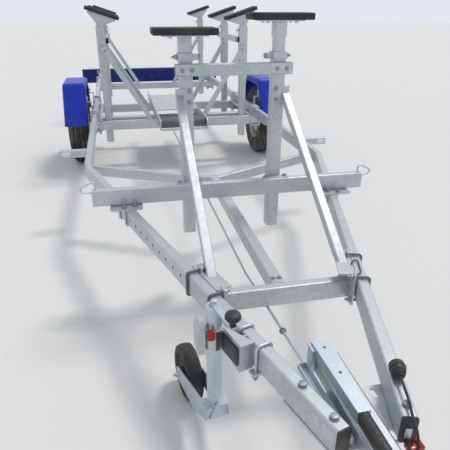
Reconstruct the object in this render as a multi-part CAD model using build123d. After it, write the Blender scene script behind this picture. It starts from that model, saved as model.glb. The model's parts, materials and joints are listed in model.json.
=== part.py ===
from build123d import *
from math import atan2, cos, degrees, hypot, pi, radians, sin, tan
import os

# Boat trailer for a small sailing yacht: galvanised box tubes clamped together with U-bolts.
# Millimetres. +X towards the coupling, +Y the trailer's left side, +Z up.
# The origin is on the ground, under the middle of the whole length and width.
os.makedirs("parts", exist_ok=True)

# Lengthwise stations, measured from the front face of the front cross beam
coupling_tip = 1820.0
board_rear = -5520.0
overall_length = coupling_tip - board_rear
origin_shift = overall_length / 2 - coupling_tip

# Side rails and their drawbar arms
tube_tall = 80.0
tube_wide = 40.0
tube_wall = 4.0
tube_corner = 7.0
rail_top = 526.0
rail_half_spacing = 735.0
rail_rear = -4670.0
bend_station = -711.0
bend_radius = 420.0
arm_end_station = 1443.0
arm_end_half_spacing = 84.0
arm_hole_diameter = 14.0
arm_hole_pitch = 70.0
arm_hole_count = 10
arm_first_hole = 830.0
plate_bolt_stations = (1296.0, 1411.0)
plate_bolt_hole = 16.0
end_cap_thick = 5.0

# Front cross beam, its base plates and tie-down loops
front_beam_half_length = 680.0
base_plate_thick = 6.0
base_plate_length = 120.0
base_plate_wide = 150.0
base_plate_ahead = 20.0
base_plate_round = 15.0
loop_rod = 9.0
loop_reach = 30.0
loop_below_top = 30.0
loop_bend = 14.0

# Crossbar, V members and spine
crossbar_station = 763.0
crossbar_top = 472.0
crossbar_tall = 76.0
crossbar_plate = 6.0
crossbar_plate_length = 190.0
crossbar_flange = 52.0
spine_wide = 50.0
spine_tall = 60.0
spine_top = 470.0
v_wide = 40.0
v_apex_station = -500.0
v_rail_station = -880.0

# Rear cross beams
cross_beam_tall = 80.0
cross_beam_wide = 40.0
cross_beam_half_length = 790.0
forward_beam_station = -2250.0
middle_beam_station = -3040.0
rear_beam_station = -4550.0

# Wheels and axle
wheel_station = -2620.0
tyre_diameter = 650.0
tyre_width = 185.0
rail_to_tyre = 50.0
wheel_half_track = rail_half_spacing + tube_wide / 2 + rail_to_tyre + tyre_width / 2
rim_diameter = 356.0
rim_width = 150.0
rim_lip = 10.0
rim_well = 20.0
rim_dish = 30.0
disc_thick = 8.0
disc_flat = 70.0
wheel_bolt_count = 5
wheel_bolt_circle = 56.0
wheel_bolt_hole = 8.0
hand_hole_count = 10
hand_hole_circle = 113.0
hand_hole_radius = 11.0
stub_diameter = 36.0
axle_tube = 76.0
axle_tube_ahead = 170.0
axle_plate_thick = 8.0
axle_plate_tall = 54.0
axle_plate_behind = 130.0
axle_plate_ahead = 620.0
swing_arm_thick = 26.0
swing_arm_tall = 70.0
drum_diameter = 210.0
drum_depth = 56.0
back_plate_diameter = 224.0
back_plate_thick = 6.0
back_plate_gap = 6.0
rod_plate_thick = 8.0
rod_plate_half = 50.0
rod_plate_below = 25.0
rod_plate_drop = 10.0

# Mudguards and their stays
guard_top = 759.0
guard_width = 200.0
guard_wall = 4.0
guard_flat_half = 215.0
guard_foot_half = 430.0
guard_foot_height = 425.0
guard_edge_round = 22.0
guard_corner_round = 60.0
guard_skirt = 60.0
stay_offset = 250.0
stay_height = 606.0
stay_thick = 6.0
stay_wide = 30.0
stay_tab_tall = 50.0

# Marker lamp outriggers
marker_station = -1060.0
marker_tall = 50.0
marker_wide = 40.0
marker_wall = 3.0
marker_reach = 930.0
marker_lamp_half_wide = 32.0
marker_lamp_half_tall = 14.0
marker_lamp_thick = 12.0
marker_lamp_inset = 45.0

# Front posts with their tie and struts
front_post_half_spacing = 217.0
front_post_side = 60.0
front_post_wall = 4.0
front_post_foot = 340.0
front_post_head = 1205.0
collar_wall = 4.0
collar_height = 34.0
collar_block = 24.0
front_tie_top = 1164.0
front_tie_tall = 52.0
front_tie_wide = 40.0
front_tie_half_length = 268.0
strut_side = 36.0
strut_wall = 3.0
strut_corner = 5.0
strut_head_height = 1035.0
strut_foot_station = 745.0
strut_side_offset = 33.0
strut_lug_thick = 6.0
strut_lug_above = 20.0
strut_lug_below = 50.0

# Front inserts
front_insert_side = 50.0
front_insert_wall = 4.0
front_insert_foot = 760.0
front_pad_seat_right = 1280.0
front_pad_seat_left = 1340.0
front_head_sleeve_wall = 4.0
front_head_sleeve_tall = 70.0
front_seat_long = 200.0
front_seat_wide = 110.0

# Rear posts, braces and ties
rear_post_half_spacing = 620.0
rear_post_side = 60.0
rear_post_wall = 4.0
rear_post_head = 960.0
rear_sleeve_side = 72.0
rear_sleeve_foot = 850.0
rear_sleeve_head = 1225.0
rear_insert_foot = 985.0
slide_gap = 1.0
brace_wide = 40.0
brace_thick = 30.0
brace_wall = 3.0
brace_corner = 4.0
brace_head_drop = 155.0
brace_foot_half_spacing = 215.0
rear_tie_height = 1118.0
rear_tie_tall = 50.0
rear_tie_thick = 25.0

# Pads and their saddles
pad_length = 285.0
pad_width = 140.0
pad_thick = 30.0
pad_round = 6.0
saddle_plate = 5.0
saddle_pivot_height = 68.0
saddle_pivot_above_sleeve = 30.0
saddle_head_round = 22.0
saddle_rim = 14.0
seat_inset = 25.0
pivot_bolt_diameter = 12.0
pivot_bolt_overhang = 8.0
pivot_gap = 0.5
rear_pad_tilt = 18.0

# Keel plank and roller
plank_half_width = 200.0
plank_top = 526.0
plank_sheet = 6.0
plank_rear = -3090.0
plank_front = -2280.0
bearer_thick = 8.0
bearer_front = -1790.0
bearer_rear = -3300.0
bearer_lip = 10.0
bearer_round = 36.0
end_bar_long = 20.0
end_bar_tall = 14.0
roller_station = -1900.0
roller_diameter = 80.0
roller_end_gap = 6.0
roller_pin_diameter = 20.0
roller_pin_overhang = 6.0

# Light board
board_half_length = 1000.0
board_tall = 195.0
board_thick = 25.0
board_round = 12.0
board_top = 530.0
board_arm_tall = 64.0
board_arm_wide = 28.0
board_arm_wall = 3.0
board_arm_in_rail = 600.0
rear_lamp_deep = 45.0
rear_lamp_long = 220.0
rear_lamp_tall = 100.0
rear_lamp_inset = 40.0
rear_lamp_edge = 10.0

# Overrun coupling
housing_rear = 1150.0
housing_front = 1560.0
housing_half_width = 38.0
housing_top = 494.0
housing_slope = 9.0
pivot_ear_long = 34.0
pivot_ear_half = 17.0
mount_plate_thick = 8.0
mount_plate_rear = 1255.0
mount_plate_front = 1440.0
plate_slot_long = 34.0
rear_slot_ahead = 26.0
rear_slot_inward = 45.0
front_slot_behind = 22.0
front_slot_inward = 24.0
draw_tube_diameter = 42.0
draw_axis_height = 470.0
draw_bore_deep = 200.0
draw_end_gap = 10.0
bellows_diameter = 64.0
head_rear = 1640.0
head_half_width = 42.0
head_above_axis = 34.0
head_below_axis = 32.0
ball_station = 1770.0
ball_diameter = 50.0
ball_clearance = 0.5
ball_height = 455.0
latch_half_width = 12.0
latch_tall = 28.0
latch_inset = 20.0

# Hand brake lever and brake rod
lever_rear = 1142.0
lever_grip_start = 1412.0
lever_grip_end = 1535.0
lever_top = 532.0
lever_tall = 34.0
lever_side = -18.0
lever_wide_rear = 54.0
lever_wide_front = 34.0
lever_sheet = 4.0
lever_arm_wide = 34.0
lever_arm_thick = 8.0
lever_arm_below = 16.0
lever_pin_diameter = 14.0
lever_hole = 9.0
lever_hole_places = (32.0, 135.0)
grip_diameter = 33.0
rod_diameter = 10.0
rod_side = -50.0
rod_height = 350.0
rod_front_height = 436.0
rod_bend_station = 430.0
rod_bend_radius = 300.0

# Jockey wheel: clamp
jockey_station = 1005.0
jockey_offset = 62.0
clamp_gap = 0.5
clamp_wall = 6.0
clamp_foot = 455.0
clamp_head = 525.0
channel_rear = 70.0
channel_front = 112.0
channel_out = 46.0
channel_rise = 6.0
channel_drop = 14.0
gusset_rear = 14.0
gusset_overhang = 6.0
hood_out = 26.0
hood_behind = 40.0
hood_ahead = 22.0

# Jockey wheel: tube, crank and leg
jockey_tube_diameter = 48.0
jockey_tube_wall = 3.0
jockey_tube_foot = 255.0
jockey_tube_head = 590.0
jockey_cap_diameter = 54.0
jockey_cap_tall = 12.0
jockey_leg_diameter = 38.0
jockey_leg_wall = 3.0
jockey_leg_head = 520.0
crank_reach = 122.0
crank_swing = 14.0
crank_wide = 22.0
crank_thick = 6.0
knob_diameter = 46.0
knob_neck_diameter = 24.0
knob_tall = 42.0
knob_neck_tall = 14.0
knob_edge = 5.0

# Jockey wheel: fork and wheel
jockey_wheel_diameter = 220.0
jockey_wheel_width = 60.0
jockey_wheel_edge = 12.0
jockey_axle_diameter = 16.0
jockey_axle_overhang = 8.0
jockey_trail = 290.0
jockey_swing = 189.0
swivel_gap = 1.0
swivel_pin_diameter = 26.0
swivel_pin_tall = 16.0
fork_top = 235.0
fork_sheet = 5.0
fork_gap = 5.0
collar_tall = 50.0
crown_half = 24.0
crown_drop = 8.0
root_long = 56.0
root_tall = 42.0
boss_radius = 30.0
belly_radius = 44.0
belly_ahead = 122.0
belly_drop = 36.0
fin_half = 27.0
fin_rise = 8.0

# Plug and its lead
plug_station = 1318.0
plug_diameter = 44.0
plug_length = 46.0
lead_diameter = 7.0
lead_gland_height = 456.0
lead_gland_diameter = 14.0
lead_gland_length = 12.0


# Reach of a cut that clears the whole trailer
beyond = 2 * overall_length


def at(station):
    """X of a lengthwise station."""
    return station + origin_shift


def box_profile(wide, tall, wall, corner=tube_corner):
    """Section of a box tube with round corners."""
    outer = RectangleRounded(wide, tall, corner)
    inner = RectangleRounded(wide - 2 * wall, tall - 2 * wall, max(corner - wall, 1.0))
    return outer - inner


def member(start, end, wide, tall, wall, wide_along=(0, 1, 0), corner=tube_corner):
    """Straight box tube from start to end; wide_along points along its width."""
    run = Vector(*end) - Vector(*start)
    plane = Plane(origin=start, x_dir=wide_along, z_dir=run)
    return extrude(plane * box_profile(wide, tall, wall, corner), run.length)


def block(x0, x1, y0, y1, z0, z1):
    """Plain block between two corners."""
    size = (abs(x1 - x0), abs(y1 - y0), abs(z1 - z0))
    return Pos((x0 + x1) / 2, (y0 + y1) / 2, (z0 + z1) / 2) * Box(*size)


def rod(start, end, diameter):
    """Round bar from start to end."""
    run = Vector(*end) - Vector(*start)
    return extrude(Plane(origin=start, z_dir=run) * Circle(diameter / 2), run.length)


def pipe(start, end, diameter, wall):
    """Round tube from start to end."""
    run = Vector(*end) - Vector(*start)
    ring = Circle(diameter / 2) - Circle(diameter / 2 - wall)
    return extrude(Plane(origin=start, z_dir=run) * ring, run.length)


def mirrored(shape):
    """The same piece on the other side of the trailer."""
    return mirror(shape, about=Plane.XZ)


def save(name, *solids):
    """Write one node, of one or more solids that don't touch."""
    shape = solids[0] if len(solids) == 1 else Compound(children=list(solids))
    shape.label = name
    export_step(shape, f"parts/{name}.step")


# Side rails with their bent drawbar arms

rail_bottom = rail_top - tube_tall
rail_middle = rail_top - tube_tall / 2
arm_run = Vector(arm_end_station - bend_station, arm_end_half_spacing - rail_half_spacing)
arm_angle = degrees(atan2(-arm_run.Y, arm_run.X))
arm_heading = Vector(cos(radians(arm_angle)), -sin(radians(arm_angle)), 0)


def arm_half_spacing(station):
    """Half distance between the arms' centre lines at a station ahead of the bend."""
    share = (station - bend_station) / arm_run.X
    return rail_half_spacing + share * arm_run.Y


def build_left_rail():
    route = FilletPolyline(
        (at(rail_rear), rail_half_spacing, rail_middle),
        (at(bend_station), rail_half_spacing, rail_middle),
        (at(arm_end_station), arm_end_half_spacing, rail_middle),
        radius=bend_radius,
    )
    section = Plane(origin=route @ 0, x_dir=(0, 1, 0), z_dir=(1, 0, 0))
    rail = sweep(section * box_profile(tube_wide, tube_tall, tube_wall), path=route)
    for index in range(arm_hole_count):
        along = arm_first_hole + index * arm_hole_pitch
        centre = Vector(at(bend_station), rail_half_spacing, rail_middle) + arm_heading * along
        plane = Plane(origin=centre, z_dir=(sin(radians(arm_angle)), cos(radians(arm_angle)), 0))
        rail -= extrude(plane * Circle(arm_hole_diameter / 2), tube_wide)
    for station in plate_bolt_stations:
        top = (at(station), arm_half_spacing(station), rail_top)
        below = (at(station), arm_half_spacing(station), rail_middle)
        rail -= rod(top, below, plate_bolt_hole)
    return rail


left_rail = build_left_rail()
save("side_rail_left", left_rail)
save("side_rail_right", mirrored(left_rail))

# End caps on the arms' open front ends
cap_plane = Plane(
    origin=(at(arm_end_station), arm_end_half_spacing, rail_middle),
    x_dir=(0, 1, 0),
    z_dir=arm_heading,
)
right_cap = mirrored(
    extrude(cap_plane * RectangleRounded(tube_wide, tube_tall, tube_corner), end_cap_thick)
)
gland_reach = end_cap_thick + lead_gland_length
gland_sketch = Pos(0, lead_gland_height - rail_middle) * Circle(lead_gland_diameter / 2)
left_cap = mirrored(right_cap) + extrude(cap_plane * gland_sketch, gland_reach)
save("arm_end_caps", left_cap, right_cap)

# Front cross beam, on base plates on top of the arms
front_beam_bottom = rail_top + base_plate_thick
front_beam_top = front_beam_bottom + tube_tall
front_beam = member(
    (at(-tube_wide / 2), -front_beam_half_length, front_beam_bottom + tube_tall / 2),
    (at(-tube_wide / 2), front_beam_half_length, front_beam_bottom + tube_tall / 2),
    tube_wide, tube_tall, tube_wall, (1, 0, 0),
)
save("front_cross_beam", front_beam)

# Crossbar between the arms, with a plate at each end along the arm's inner face
arm_inner_offset = tube_wide / 2 / cos(radians(arm_angle))
crossbar_middle = crossbar_station - tube_wide / 2
inner_face_half = arm_half_spacing(crossbar_middle) - arm_inner_offset


def build_crossbar():
    middle_height = crossbar_top - crossbar_tall / 2
    bar = member(
        (at(crossbar_middle), -inner_face_half - tube_wide, middle_height),
        (at(crossbar_middle), inner_face_half + tube_wide, middle_height),
        tube_wide, crossbar_tall, tube_wall, (1, 0, 0),
    )
    plate_tall = rail_top - (crossbar_top - crossbar_tall)
    plate = Pos(at(crossbar_middle), inner_face_half, rail_top - plate_tall / 2) * (
        Rot(0, 0, -arm_angle) * (
            Pos(-tube_wide / 2, -crossbar_plate / 2, 0)
            * Box(crossbar_plate_length, crossbar_plate, plate_tall)
        )
    )
    flange = Pos(at(crossbar_middle), inner_face_half, rail_top - crossbar_plate / 2) * (
        Rot(0, 0, -arm_angle) * (
            Pos(-tube_wide / 2, -crossbar_plate - crossbar_flange / 2, 0)
            * Box(crossbar_plate_length, crossbar_flange, crossbar_plate)
        )
    )
    plate = plate + flange
    outside = Pos(at(crossbar_middle), inner_face_half, 0) * (
        Rot(0, 0, -arm_angle) * block(-beyond, beyond, -crossbar_plate / 2, beyond, 0, beyond)
    )
    bar = bar - outside - mirrored(outside)
    return bar + plate + mirrored(plate)


save("drawbar_crossbar", build_crossbar())

# V members from the rails to the spine's rear end, and the spine
v_middle = spine_top - spine_tall / 2
rail_inner_half = rail_half_spacing - tube_wide / 2


def build_v_member():
    apex = (at(v_apex_station), 0, v_middle)
    outer_end = (at(v_rail_station), rail_half_spacing, v_middle)
    run = Vector(*outer_end) - Vector(*apex)
    across = (run.Y, -run.X, 0)
    bar = member(apex, outer_end, v_wide, spine_tall, tube_wall, across)
    middle_cut = block(-beyond, beyond, -beyond, 0, 0, beyond)
    rail_cut = block(-beyond, beyond, rail_inner_half, beyond, 0, beyond)
    return bar - middle_cut - rail_cut


left_v = build_v_member()

spine = member(
    (at(v_apex_station - v_wide), 0, v_middle),
    (at(crossbar_station - tube_wide), 0, v_middle),
    spine_wide, spine_tall, tube_wall,
)
save("centre_spine", spine + left_v + mirrored(left_v))

# Rear cross beams, under the rails
cross_beam_top = rail_bottom
cross_beam_middle_height = cross_beam_top - cross_beam_tall / 2


def build_cross_beam(station):
    middle = at(station - cross_beam_wide / 2)
    return member(
        (middle, -cross_beam_half_length, cross_beam_middle_height),
        (middle, cross_beam_half_length, cross_beam_middle_height),
        cross_beam_wide, cross_beam_tall, tube_wall, (1, 0, 0),
    )


rear_stations = (forward_beam_station, middle_beam_station, rear_beam_station)
save("rear_cross_beams", *[build_cross_beam(station) for station in rear_stations])

# Axle tube, its swing arms with stub axles, and the brake back plates
wheel_radius = tyre_diameter / 2
axle_tube_station = wheel_station + axle_tube_ahead
axle_tube_middle = rail_bottom - axle_tube / 2
axle_tube_half_length = rail_half_spacing + tube_wide / 2
axle = member(
    (at(axle_tube_station), -axle_tube_half_length, axle_tube_middle),
    (at(axle_tube_station), axle_tube_half_length, axle_tube_middle),
    axle_tube, axle_tube, tube_wall, (1, 0, 0),
)
disc_inner_face = wheel_half_track + rim_dish - disc_thick
back_plate_face = disc_inner_face - drum_depth - back_plate_gap


def build_left_swing_arm():
    """Swing arm, stub axle and brake back plate, and the plate on the rail's inner face."""
    start = (at(axle_tube_station), axle_tube_middle)
    end = (at(wheel_station), wheel_radius)
    tilt = degrees(atan2(end[1] - start[1], end[0] - start[0]))
    length = hypot(end[0] - start[0], end[1] - start[1])
    outline = SlotCenterToCenter(length, swing_arm_tall)
    centre = ((start[0] + end[0]) / 2, axle_tube_half_length, (start[1] + end[1]) / 2)
    plane = Plane(origin=centre, x_dir=(cos(radians(tilt)), 0, sin(radians(tilt))), z_dir=(0, 1, 0))
    arm = extrude(plane * outline, swing_arm_thick)
    stub = rod(
        (at(wheel_station), axle_tube_half_length + swing_arm_thick / 2, wheel_radius),
        (at(wheel_station), wheel_half_track + rim_dish, wheel_radius), stub_diameter,
    )
    back_plate = rod(
        (at(wheel_station), back_plate_face - back_plate_thick, wheel_radius),
        (at(wheel_station), back_plate_face, wheel_radius), back_plate_diameter,
    )
    mounting_plate = block(
        at(axle_tube_station - axle_plate_behind), at(axle_tube_station + axle_plate_ahead),
        rail_inner_half - axle_plate_thick, rail_inner_half, rail_bottom, rail_bottom + axle_plate_tall,
    )
    corners = mounting_plate.edges().filter_by(Axis.Y).group_by(Axis.Z)[-1]
    return arm + stub + back_plate + chamfer(corners, axle_plate_tall / 2)


left_swing_arm = build_left_swing_arm()
rod_plate_x = at(axle_tube_station) + axle_tube / 2
rod_plate = block(
    rod_plate_x, rod_plate_x + rod_plate_thick, rod_side - rod_plate_half, rod_side + rod_plate_half,
    rod_height - rod_plate_below, rail_bottom - rod_plate_drop,
)
save("axle", axle + left_swing_arm + mirrored(left_swing_arm) + rod_plate)

# Road wheels


def build_left_tyre():
    """Tyre on the rim, its section drawn on one side and mirrored: (distance from the middle, radius)."""
    bead = rim_diameter / 2
    half = tyre_width / 2
    side = (
        (half - 22, bead), (half - 8, bead + 14), (half - 1, bead + 44), (half, bead + 72),
        (half - 5, bead + 104), (half - 14, wheel_radius - 20), (half - 26, wheel_radius - 6),
        (half - 50, wheel_radius),
    )
    other_side = [(-across, radius) for across, radius in reversed(side)]
    section = Plane.XZ * make_face(Polyline(*side, *other_side, close=True))
    body = revolve(section, axis=Axis.X)
    return Pos(at(wheel_station), wheel_half_track, wheel_radius) * (Rot(0, 0, 90) * body)


def build_left_rim():
    """Well base rim with a dished disc; the wheel bolts and the hand holes go through the disc."""
    half = rim_width / 2
    outer = rim_diameter / 2
    bore = stub_diameter / 2 + pivot_gap
    profile = (
        (-half, outer), (half, outer), (half, outer - rim_lip), (half - 20, outer - rim_well),
        (rim_dish + 12, outer - rim_well - 2), (rim_dish, disc_flat), (rim_dish, bore),
        (rim_dish - disc_thick, bore), (rim_dish - disc_thick, disc_flat + 2),
        (rim_dish + 3, outer - rim_well - 2), (20 - half, outer - rim_well), (-half, outer - rim_lip),
    )
    with BuildPart() as rim:
        with BuildSketch(Plane.XZ):
            with BuildLine():
                Polyline(*profile, close=True)
            make_face()
        revolve(axis=Axis.X)
    body = rim.part
    hole_rings = (
        # count, radius of the ring, radius of a hole
        (wheel_bolt_count, wheel_bolt_circle, wheel_bolt_hole),
        (hand_hole_count, hand_hole_circle, hand_hole_radius),
    )
    for count, ring_radius, hole_radius in hole_rings:
        for index in range(count):
            cutter = Pos(rim_dish, 0, ring_radius) * (Rot(0, 90, 0) * Cylinder(hole_radius, 2 * rim_dish))
            body -= Rot(index * 360 / count, 0, 0) * cutter
    disc_inner = rim_dish - disc_thick
    drum = pipe(
        (disc_inner - drum_depth, 0, 0), (disc_inner, 0, 0), drum_diameter,
        (drum_diameter - stub_diameter) / 2 - pivot_gap,
    )
    body += drum
    return Pos(at(wheel_station), wheel_half_track, wheel_radius) * (Rot(0, 0, 90) * body)


left_tyre = build_left_tyre()
save("road_tyre_left", left_tyre)
save("road_tyre_right", mirrored(left_tyre))
left_rim = build_left_rim()
save("road_rim_left", left_rim)
save("road_rim_right", mirrored(left_rim))


# Mudguards: plastic shells with a flat top and sloping ends


def guard_outline(inset, drop):
    """Side view of the guard, drawn in by inset and let down by drop at its open foot."""
    slope = (guard_foot_half - guard_flat_half) / (guard_top - guard_foot_height)
    lean = inset * hypot(1, slope)
    top = guard_top - inset
    foot = guard_foot_height - drop
    half_top = guard_flat_half + inset * slope - lean
    half_foot = guard_flat_half + (guard_top - foot) * slope - lean
    outline = make_face(
        Polyline((-half_foot, foot), (-half_top, top), (half_top, top), (half_foot, foot), close=True)
    )
    upper = outline.vertices().sort_by(Axis.Y)[2:]
    return fillet(upper, guard_corner_round - min(inset, guard_corner_round - 10))


def guard_solid(inset, drop, width):
    """The outline made as wide as given, about the wheel."""
    side = wheel_half_track + width / 2
    plane = Plane(origin=(at(wheel_station), side, 0), x_dir=(1, 0, 0), z_dir=(0, -1, 0))
    return extrude(plane * guard_outline(inset, drop), width)


def build_left_guard():
    shell = guard_solid(0, 0, guard_width)
    long_edges = [
        edge for face in shell.faces().filter_by(Axis.Y) for edge in face.edges()
        if edge.center().Z > guard_foot_height + 1
    ]
    shell = fillet(long_edges, guard_edge_round)
    inside = guard_solid(guard_wall, 20, guard_width - 2 * guard_wall)
    inner_edges = [
        edge for face in inside.faces().filter_by(Axis.Y) for edge in face.edges()
        if edge.center().Z > guard_foot_height - 19
    ]
    inside = fillet(inner_edges, guard_edge_round - guard_wall)
    arch = guard_solid(guard_skirt, 40, guard_width + 20)
    return shell - inside - arch


left_guard = build_left_guard()
save("mudguard_left", left_guard)
save("mudguard_right", mirrored(left_guard))

# Brackets outside the rails: marker arms and mudguard stays
rail_outer_half = rail_half_spacing + tube_wide / 2
guard_inner_face = wheel_half_track - guard_width / 2


def build_left_marker_arm():
    middle = rail_top - marker_tall / 2
    return member(
        (at(marker_station), rail_outer_half, middle), (at(marker_station), marker_reach, middle),
        marker_wide, marker_tall, marker_wall, (1, 0, 0),
    )


def build_left_stay(direction):
    """Folded flat bar from the rail's side to the guard's inner skirt, ahead of or behind the wheel."""
    station = wheel_station + direction * stay_offset
    back = at(station) - stay_wide / 2
    front = at(station) + stay_wide / 2
    foot = block(
        back, front, rail_outer_half, rail_outer_half + stay_thick, rail_bottom + 10, stay_height
    )
    bar = block(
        back, front, rail_outer_half, guard_inner_face, stay_height - stay_thick, stay_height
    )
    tab = block(
        back, front, guard_inner_face - stay_thick, guard_inner_face, stay_height - stay_thick,
        stay_height + stay_tab_tall,
    )
    return foot + bar + tab


marker_arm = build_left_marker_arm()
stays = [build_left_stay(-1), build_left_stay(1)]
left_brackets = [marker_arm, *stays]
save("side_brackets", *left_brackets, *[mirrored(bracket) for bracket in left_brackets])

lamp_plane = Plane(
    origin=(
        at(marker_station + marker_wide / 2), marker_reach - marker_lamp_inset, rail_top - marker_tall / 2
    ),
    x_dir=(0, 1, 0), z_dir=(1, 0, 0),
)
lamp_outline = Ellipse(marker_lamp_half_wide, marker_lamp_half_tall)
left_lamp = extrude(lamp_plane * lamp_outline, marker_lamp_thick)
save("marker_lamps", left_lamp, mirrored(left_lamp))

# Front posts with their tie and struts
front_post_x = at(-tube_wide - front_post_side / 2)
front_post_face = at(-tube_wide)


def build_left_front_post():
    return member(
        (front_post_x, front_post_half_spacing, front_post_foot),
        (front_post_x, front_post_half_spacing, front_post_head),
        front_post_side, front_post_side, front_post_wall, (0, 1, 0),
    )


def build_left_collar():
    """Clamp collar round the post's head, with the square block that its screw goes through."""
    collar_side = front_post_side + 2 * collar_wall
    collar = member(
        (front_post_x, front_post_half_spacing, front_post_head - collar_height),
        (front_post_x, front_post_half_spacing, front_post_head),
        collar_side, collar_side, collar_wall, (0, 1, 0),
    )
    inner_face = front_post_half_spacing - collar_side / 2
    nut_middle = Pos(front_post_x, inner_face - collar_block / 2, front_post_head - collar_height / 2)
    return collar + nut_middle * Box(collar_block, collar_block, collar_block)


left_front_post = build_left_front_post() + build_left_collar()

front_tie = member(
    (front_post_face + front_tie_wide / 2, -front_tie_half_length, front_tie_top - front_tie_tall / 2),
    (front_post_face + front_tie_wide / 2, front_tie_half_length, front_tie_top - front_tie_tall / 2),
    front_tie_wide, front_tie_tall, strut_wall, (1, 0, 0),
)


def build_left_strut():
    side = front_post_half_spacing + strut_side_offset
    head = (front_post_face - strut_side, side, strut_head_height)
    foot = (at(strut_foot_station), side, rail_top - strut_side)
    strut = member(head, foot, strut_side, strut_side, strut_wall, (0, 1, 0), strut_corner)
    behind = block(-beyond, front_post_face, -beyond, beyond, 0, beyond)
    below = block(-beyond, beyond, -beyond, beyond, 0, rail_top)
    lug = block(
        front_post_face, front_post_face + strut_lug_thick, front_post_half_spacing - strut_lug_above,
        side + strut_side / 2, strut_head_height - strut_lug_below, strut_head_height + strut_lug_above,
    )
    return strut - behind - below + lug


left_strut = build_left_strut()
save("front_tie_and_struts", front_tie, left_strut, mirrored(left_strut))

# Front inserts with their head sleeves, and the front pads
front_sides = (
    # name, side, height of the pad's seat
    ("right", -1, front_pad_seat_right),
    ("left", 1, front_pad_seat_left),
)


def pad_block():
    """A pad on its seat, along Y, with rounded edges."""
    pad = Pos(0, 0, pad_thick / 2) * Box(pad_width, pad_length, pad_thick)
    return fillet(pad.edges().filter_by(Axis.Z), pad_round)


for name, side, seat in front_sides:
    middle = side * front_post_half_spacing
    insert = member(
        (front_post_x, middle, front_insert_foot), (front_post_x, middle, seat - saddle_plate),
        front_insert_side, front_insert_side, front_insert_wall, (0, 1, 0),
    )
    sleeve_side = front_insert_side + 2 * front_head_sleeve_wall
    sleeve = member(
        (front_post_x, middle, seat - front_head_sleeve_tall), (front_post_x, middle, seat - saddle_plate),
        sleeve_side, sleeve_side, front_head_sleeve_wall, (0, 1, 0),
    )
    plate = Pos(front_post_x, middle, seat - saddle_plate / 2) * Box(
        front_seat_wide, front_seat_long, saddle_plate
    )
    save(f"front_insert_{name}", insert + sleeve + plate)
    save(f"front_pad_{name}", Pos(front_post_x, middle, seat) * pad_block())

# Rear posts, their braces and ties
rear_rows = (
    # row, station of the cross beam's front face, foot of its posts
    (1, forward_beam_station, 250.0),
    (2, middle_beam_station, 320.0),
    (3, rear_beam_station, 270.0),
)


def row_x(station):
    """X of the posts that stand against a cross beam's rear face."""
    return at(station - cross_beam_wide - rear_post_side / 2)


def build_left_rear_post(station, foot):
    x = row_x(station)
    post = member(
        (x, rear_post_half_spacing, foot), (x, rear_post_half_spacing, rear_post_head),
        rear_post_side, rear_post_side, rear_post_wall, (0, 1, 0),
    )
    sleeve = member(
        (x, rear_post_half_spacing, rear_sleeve_foot), (x, rear_post_half_spacing, rear_sleeve_head),
        rear_sleeve_side, rear_sleeve_side, (rear_sleeve_side - rear_post_side) / 2, (0, 1, 0),
    )
    return post + sleeve


def build_left_brace(station):
    x = row_x(station) + rear_sleeve_side / 2 + brace_thick / 2
    head = (x, rear_post_half_spacing, rear_sleeve_head - brace_head_drop)
    foot = (x, brace_foot_half_spacing, cross_beam_top - brace_wide)
    brace = member(head, foot, brace_thick, brace_wide, brace_wall, (1, 0, 0), brace_corner)
    return brace - block(-beyond, beyond, -beyond, beyond, 0, cross_beam_top)


left_posts = [build_left_rear_post(station, foot) for row, station, foot in rear_rows]
all_left_posts = [left_front_post, *left_posts]
save("fixed_posts", *all_left_posts, *[mirrored(post) for post in all_left_posts])
left_braces = [build_left_brace(station) for row, station, foot in rear_rows]

tie_side = rear_post_half_spacing - rear_sleeve_side / 2 - rear_tie_thick / 2
left_tie = member(
    (row_x(middle_beam_station) - rear_sleeve_side / 2, tie_side, rear_tie_height),
    (row_x(forward_beam_station) + rear_sleeve_side / 2, tie_side, rear_tie_height),
    rear_tie_thick, rear_tie_tall, brace_wall, (0, 1, 0), brace_corner,
)
left_stiffeners = [*left_braces, left_tie]
save("rear_braces_and_ties", *left_stiffeners, *[mirrored(piece) for piece in left_stiffeners])

# Rear inserts, saddles and pads
pivot_height = rear_sleeve_head + saddle_pivot_above_sleeve
insert_side = rear_post_side - 2 * slide_gap
saddle_inner = insert_side / 2 + slide_gap


def build_rear_insert(x, y):
    insert = member(
        (x, y, rear_insert_foot), (x, y, pivot_height + saddle_head_round),
        insert_side, insert_side, rear_post_wall, (0, 1, 0),
    )
    pin_half = saddle_inner + saddle_plate + pivot_bolt_overhang
    pin = rod((x - pin_half, y, pivot_height), (x + pin_half, y, pivot_height), pivot_bolt_diameter)
    return insert + pin


def build_saddle():
    """Folded saddle about its pivot, upright: two tapered cheeks under a seat plate."""
    half_seat = pad_length / 2 - seat_inset
    rim = Pos(0, saddle_pivot_height - saddle_rim / 2) * Rectangle(2 * half_seat, saddle_rim)
    cheek = make_hull(Circle(saddle_head_round).edges() + rim.edges())
    plane = Plane(origin=(saddle_inner, 0, 0), x_dir=(0, 1, 0), z_dir=(1, 0, 0))
    front_cheek = extrude(plane * cheek, saddle_plate)
    back_cheek = Pos(-2 * saddle_inner - saddle_plate, 0, 0) * front_cheek
    seat = Pos(0, 0, saddle_pivot_height - saddle_plate / 2) * Box(
        2 * (saddle_inner + saddle_plate), 2 * half_seat, saddle_plate
    )
    hole = rod((-beyond, 0, 0), (beyond, 0, 0), pivot_bolt_diameter + 2 * pivot_gap)
    return front_cheek + back_cheek + seat - hole


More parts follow.
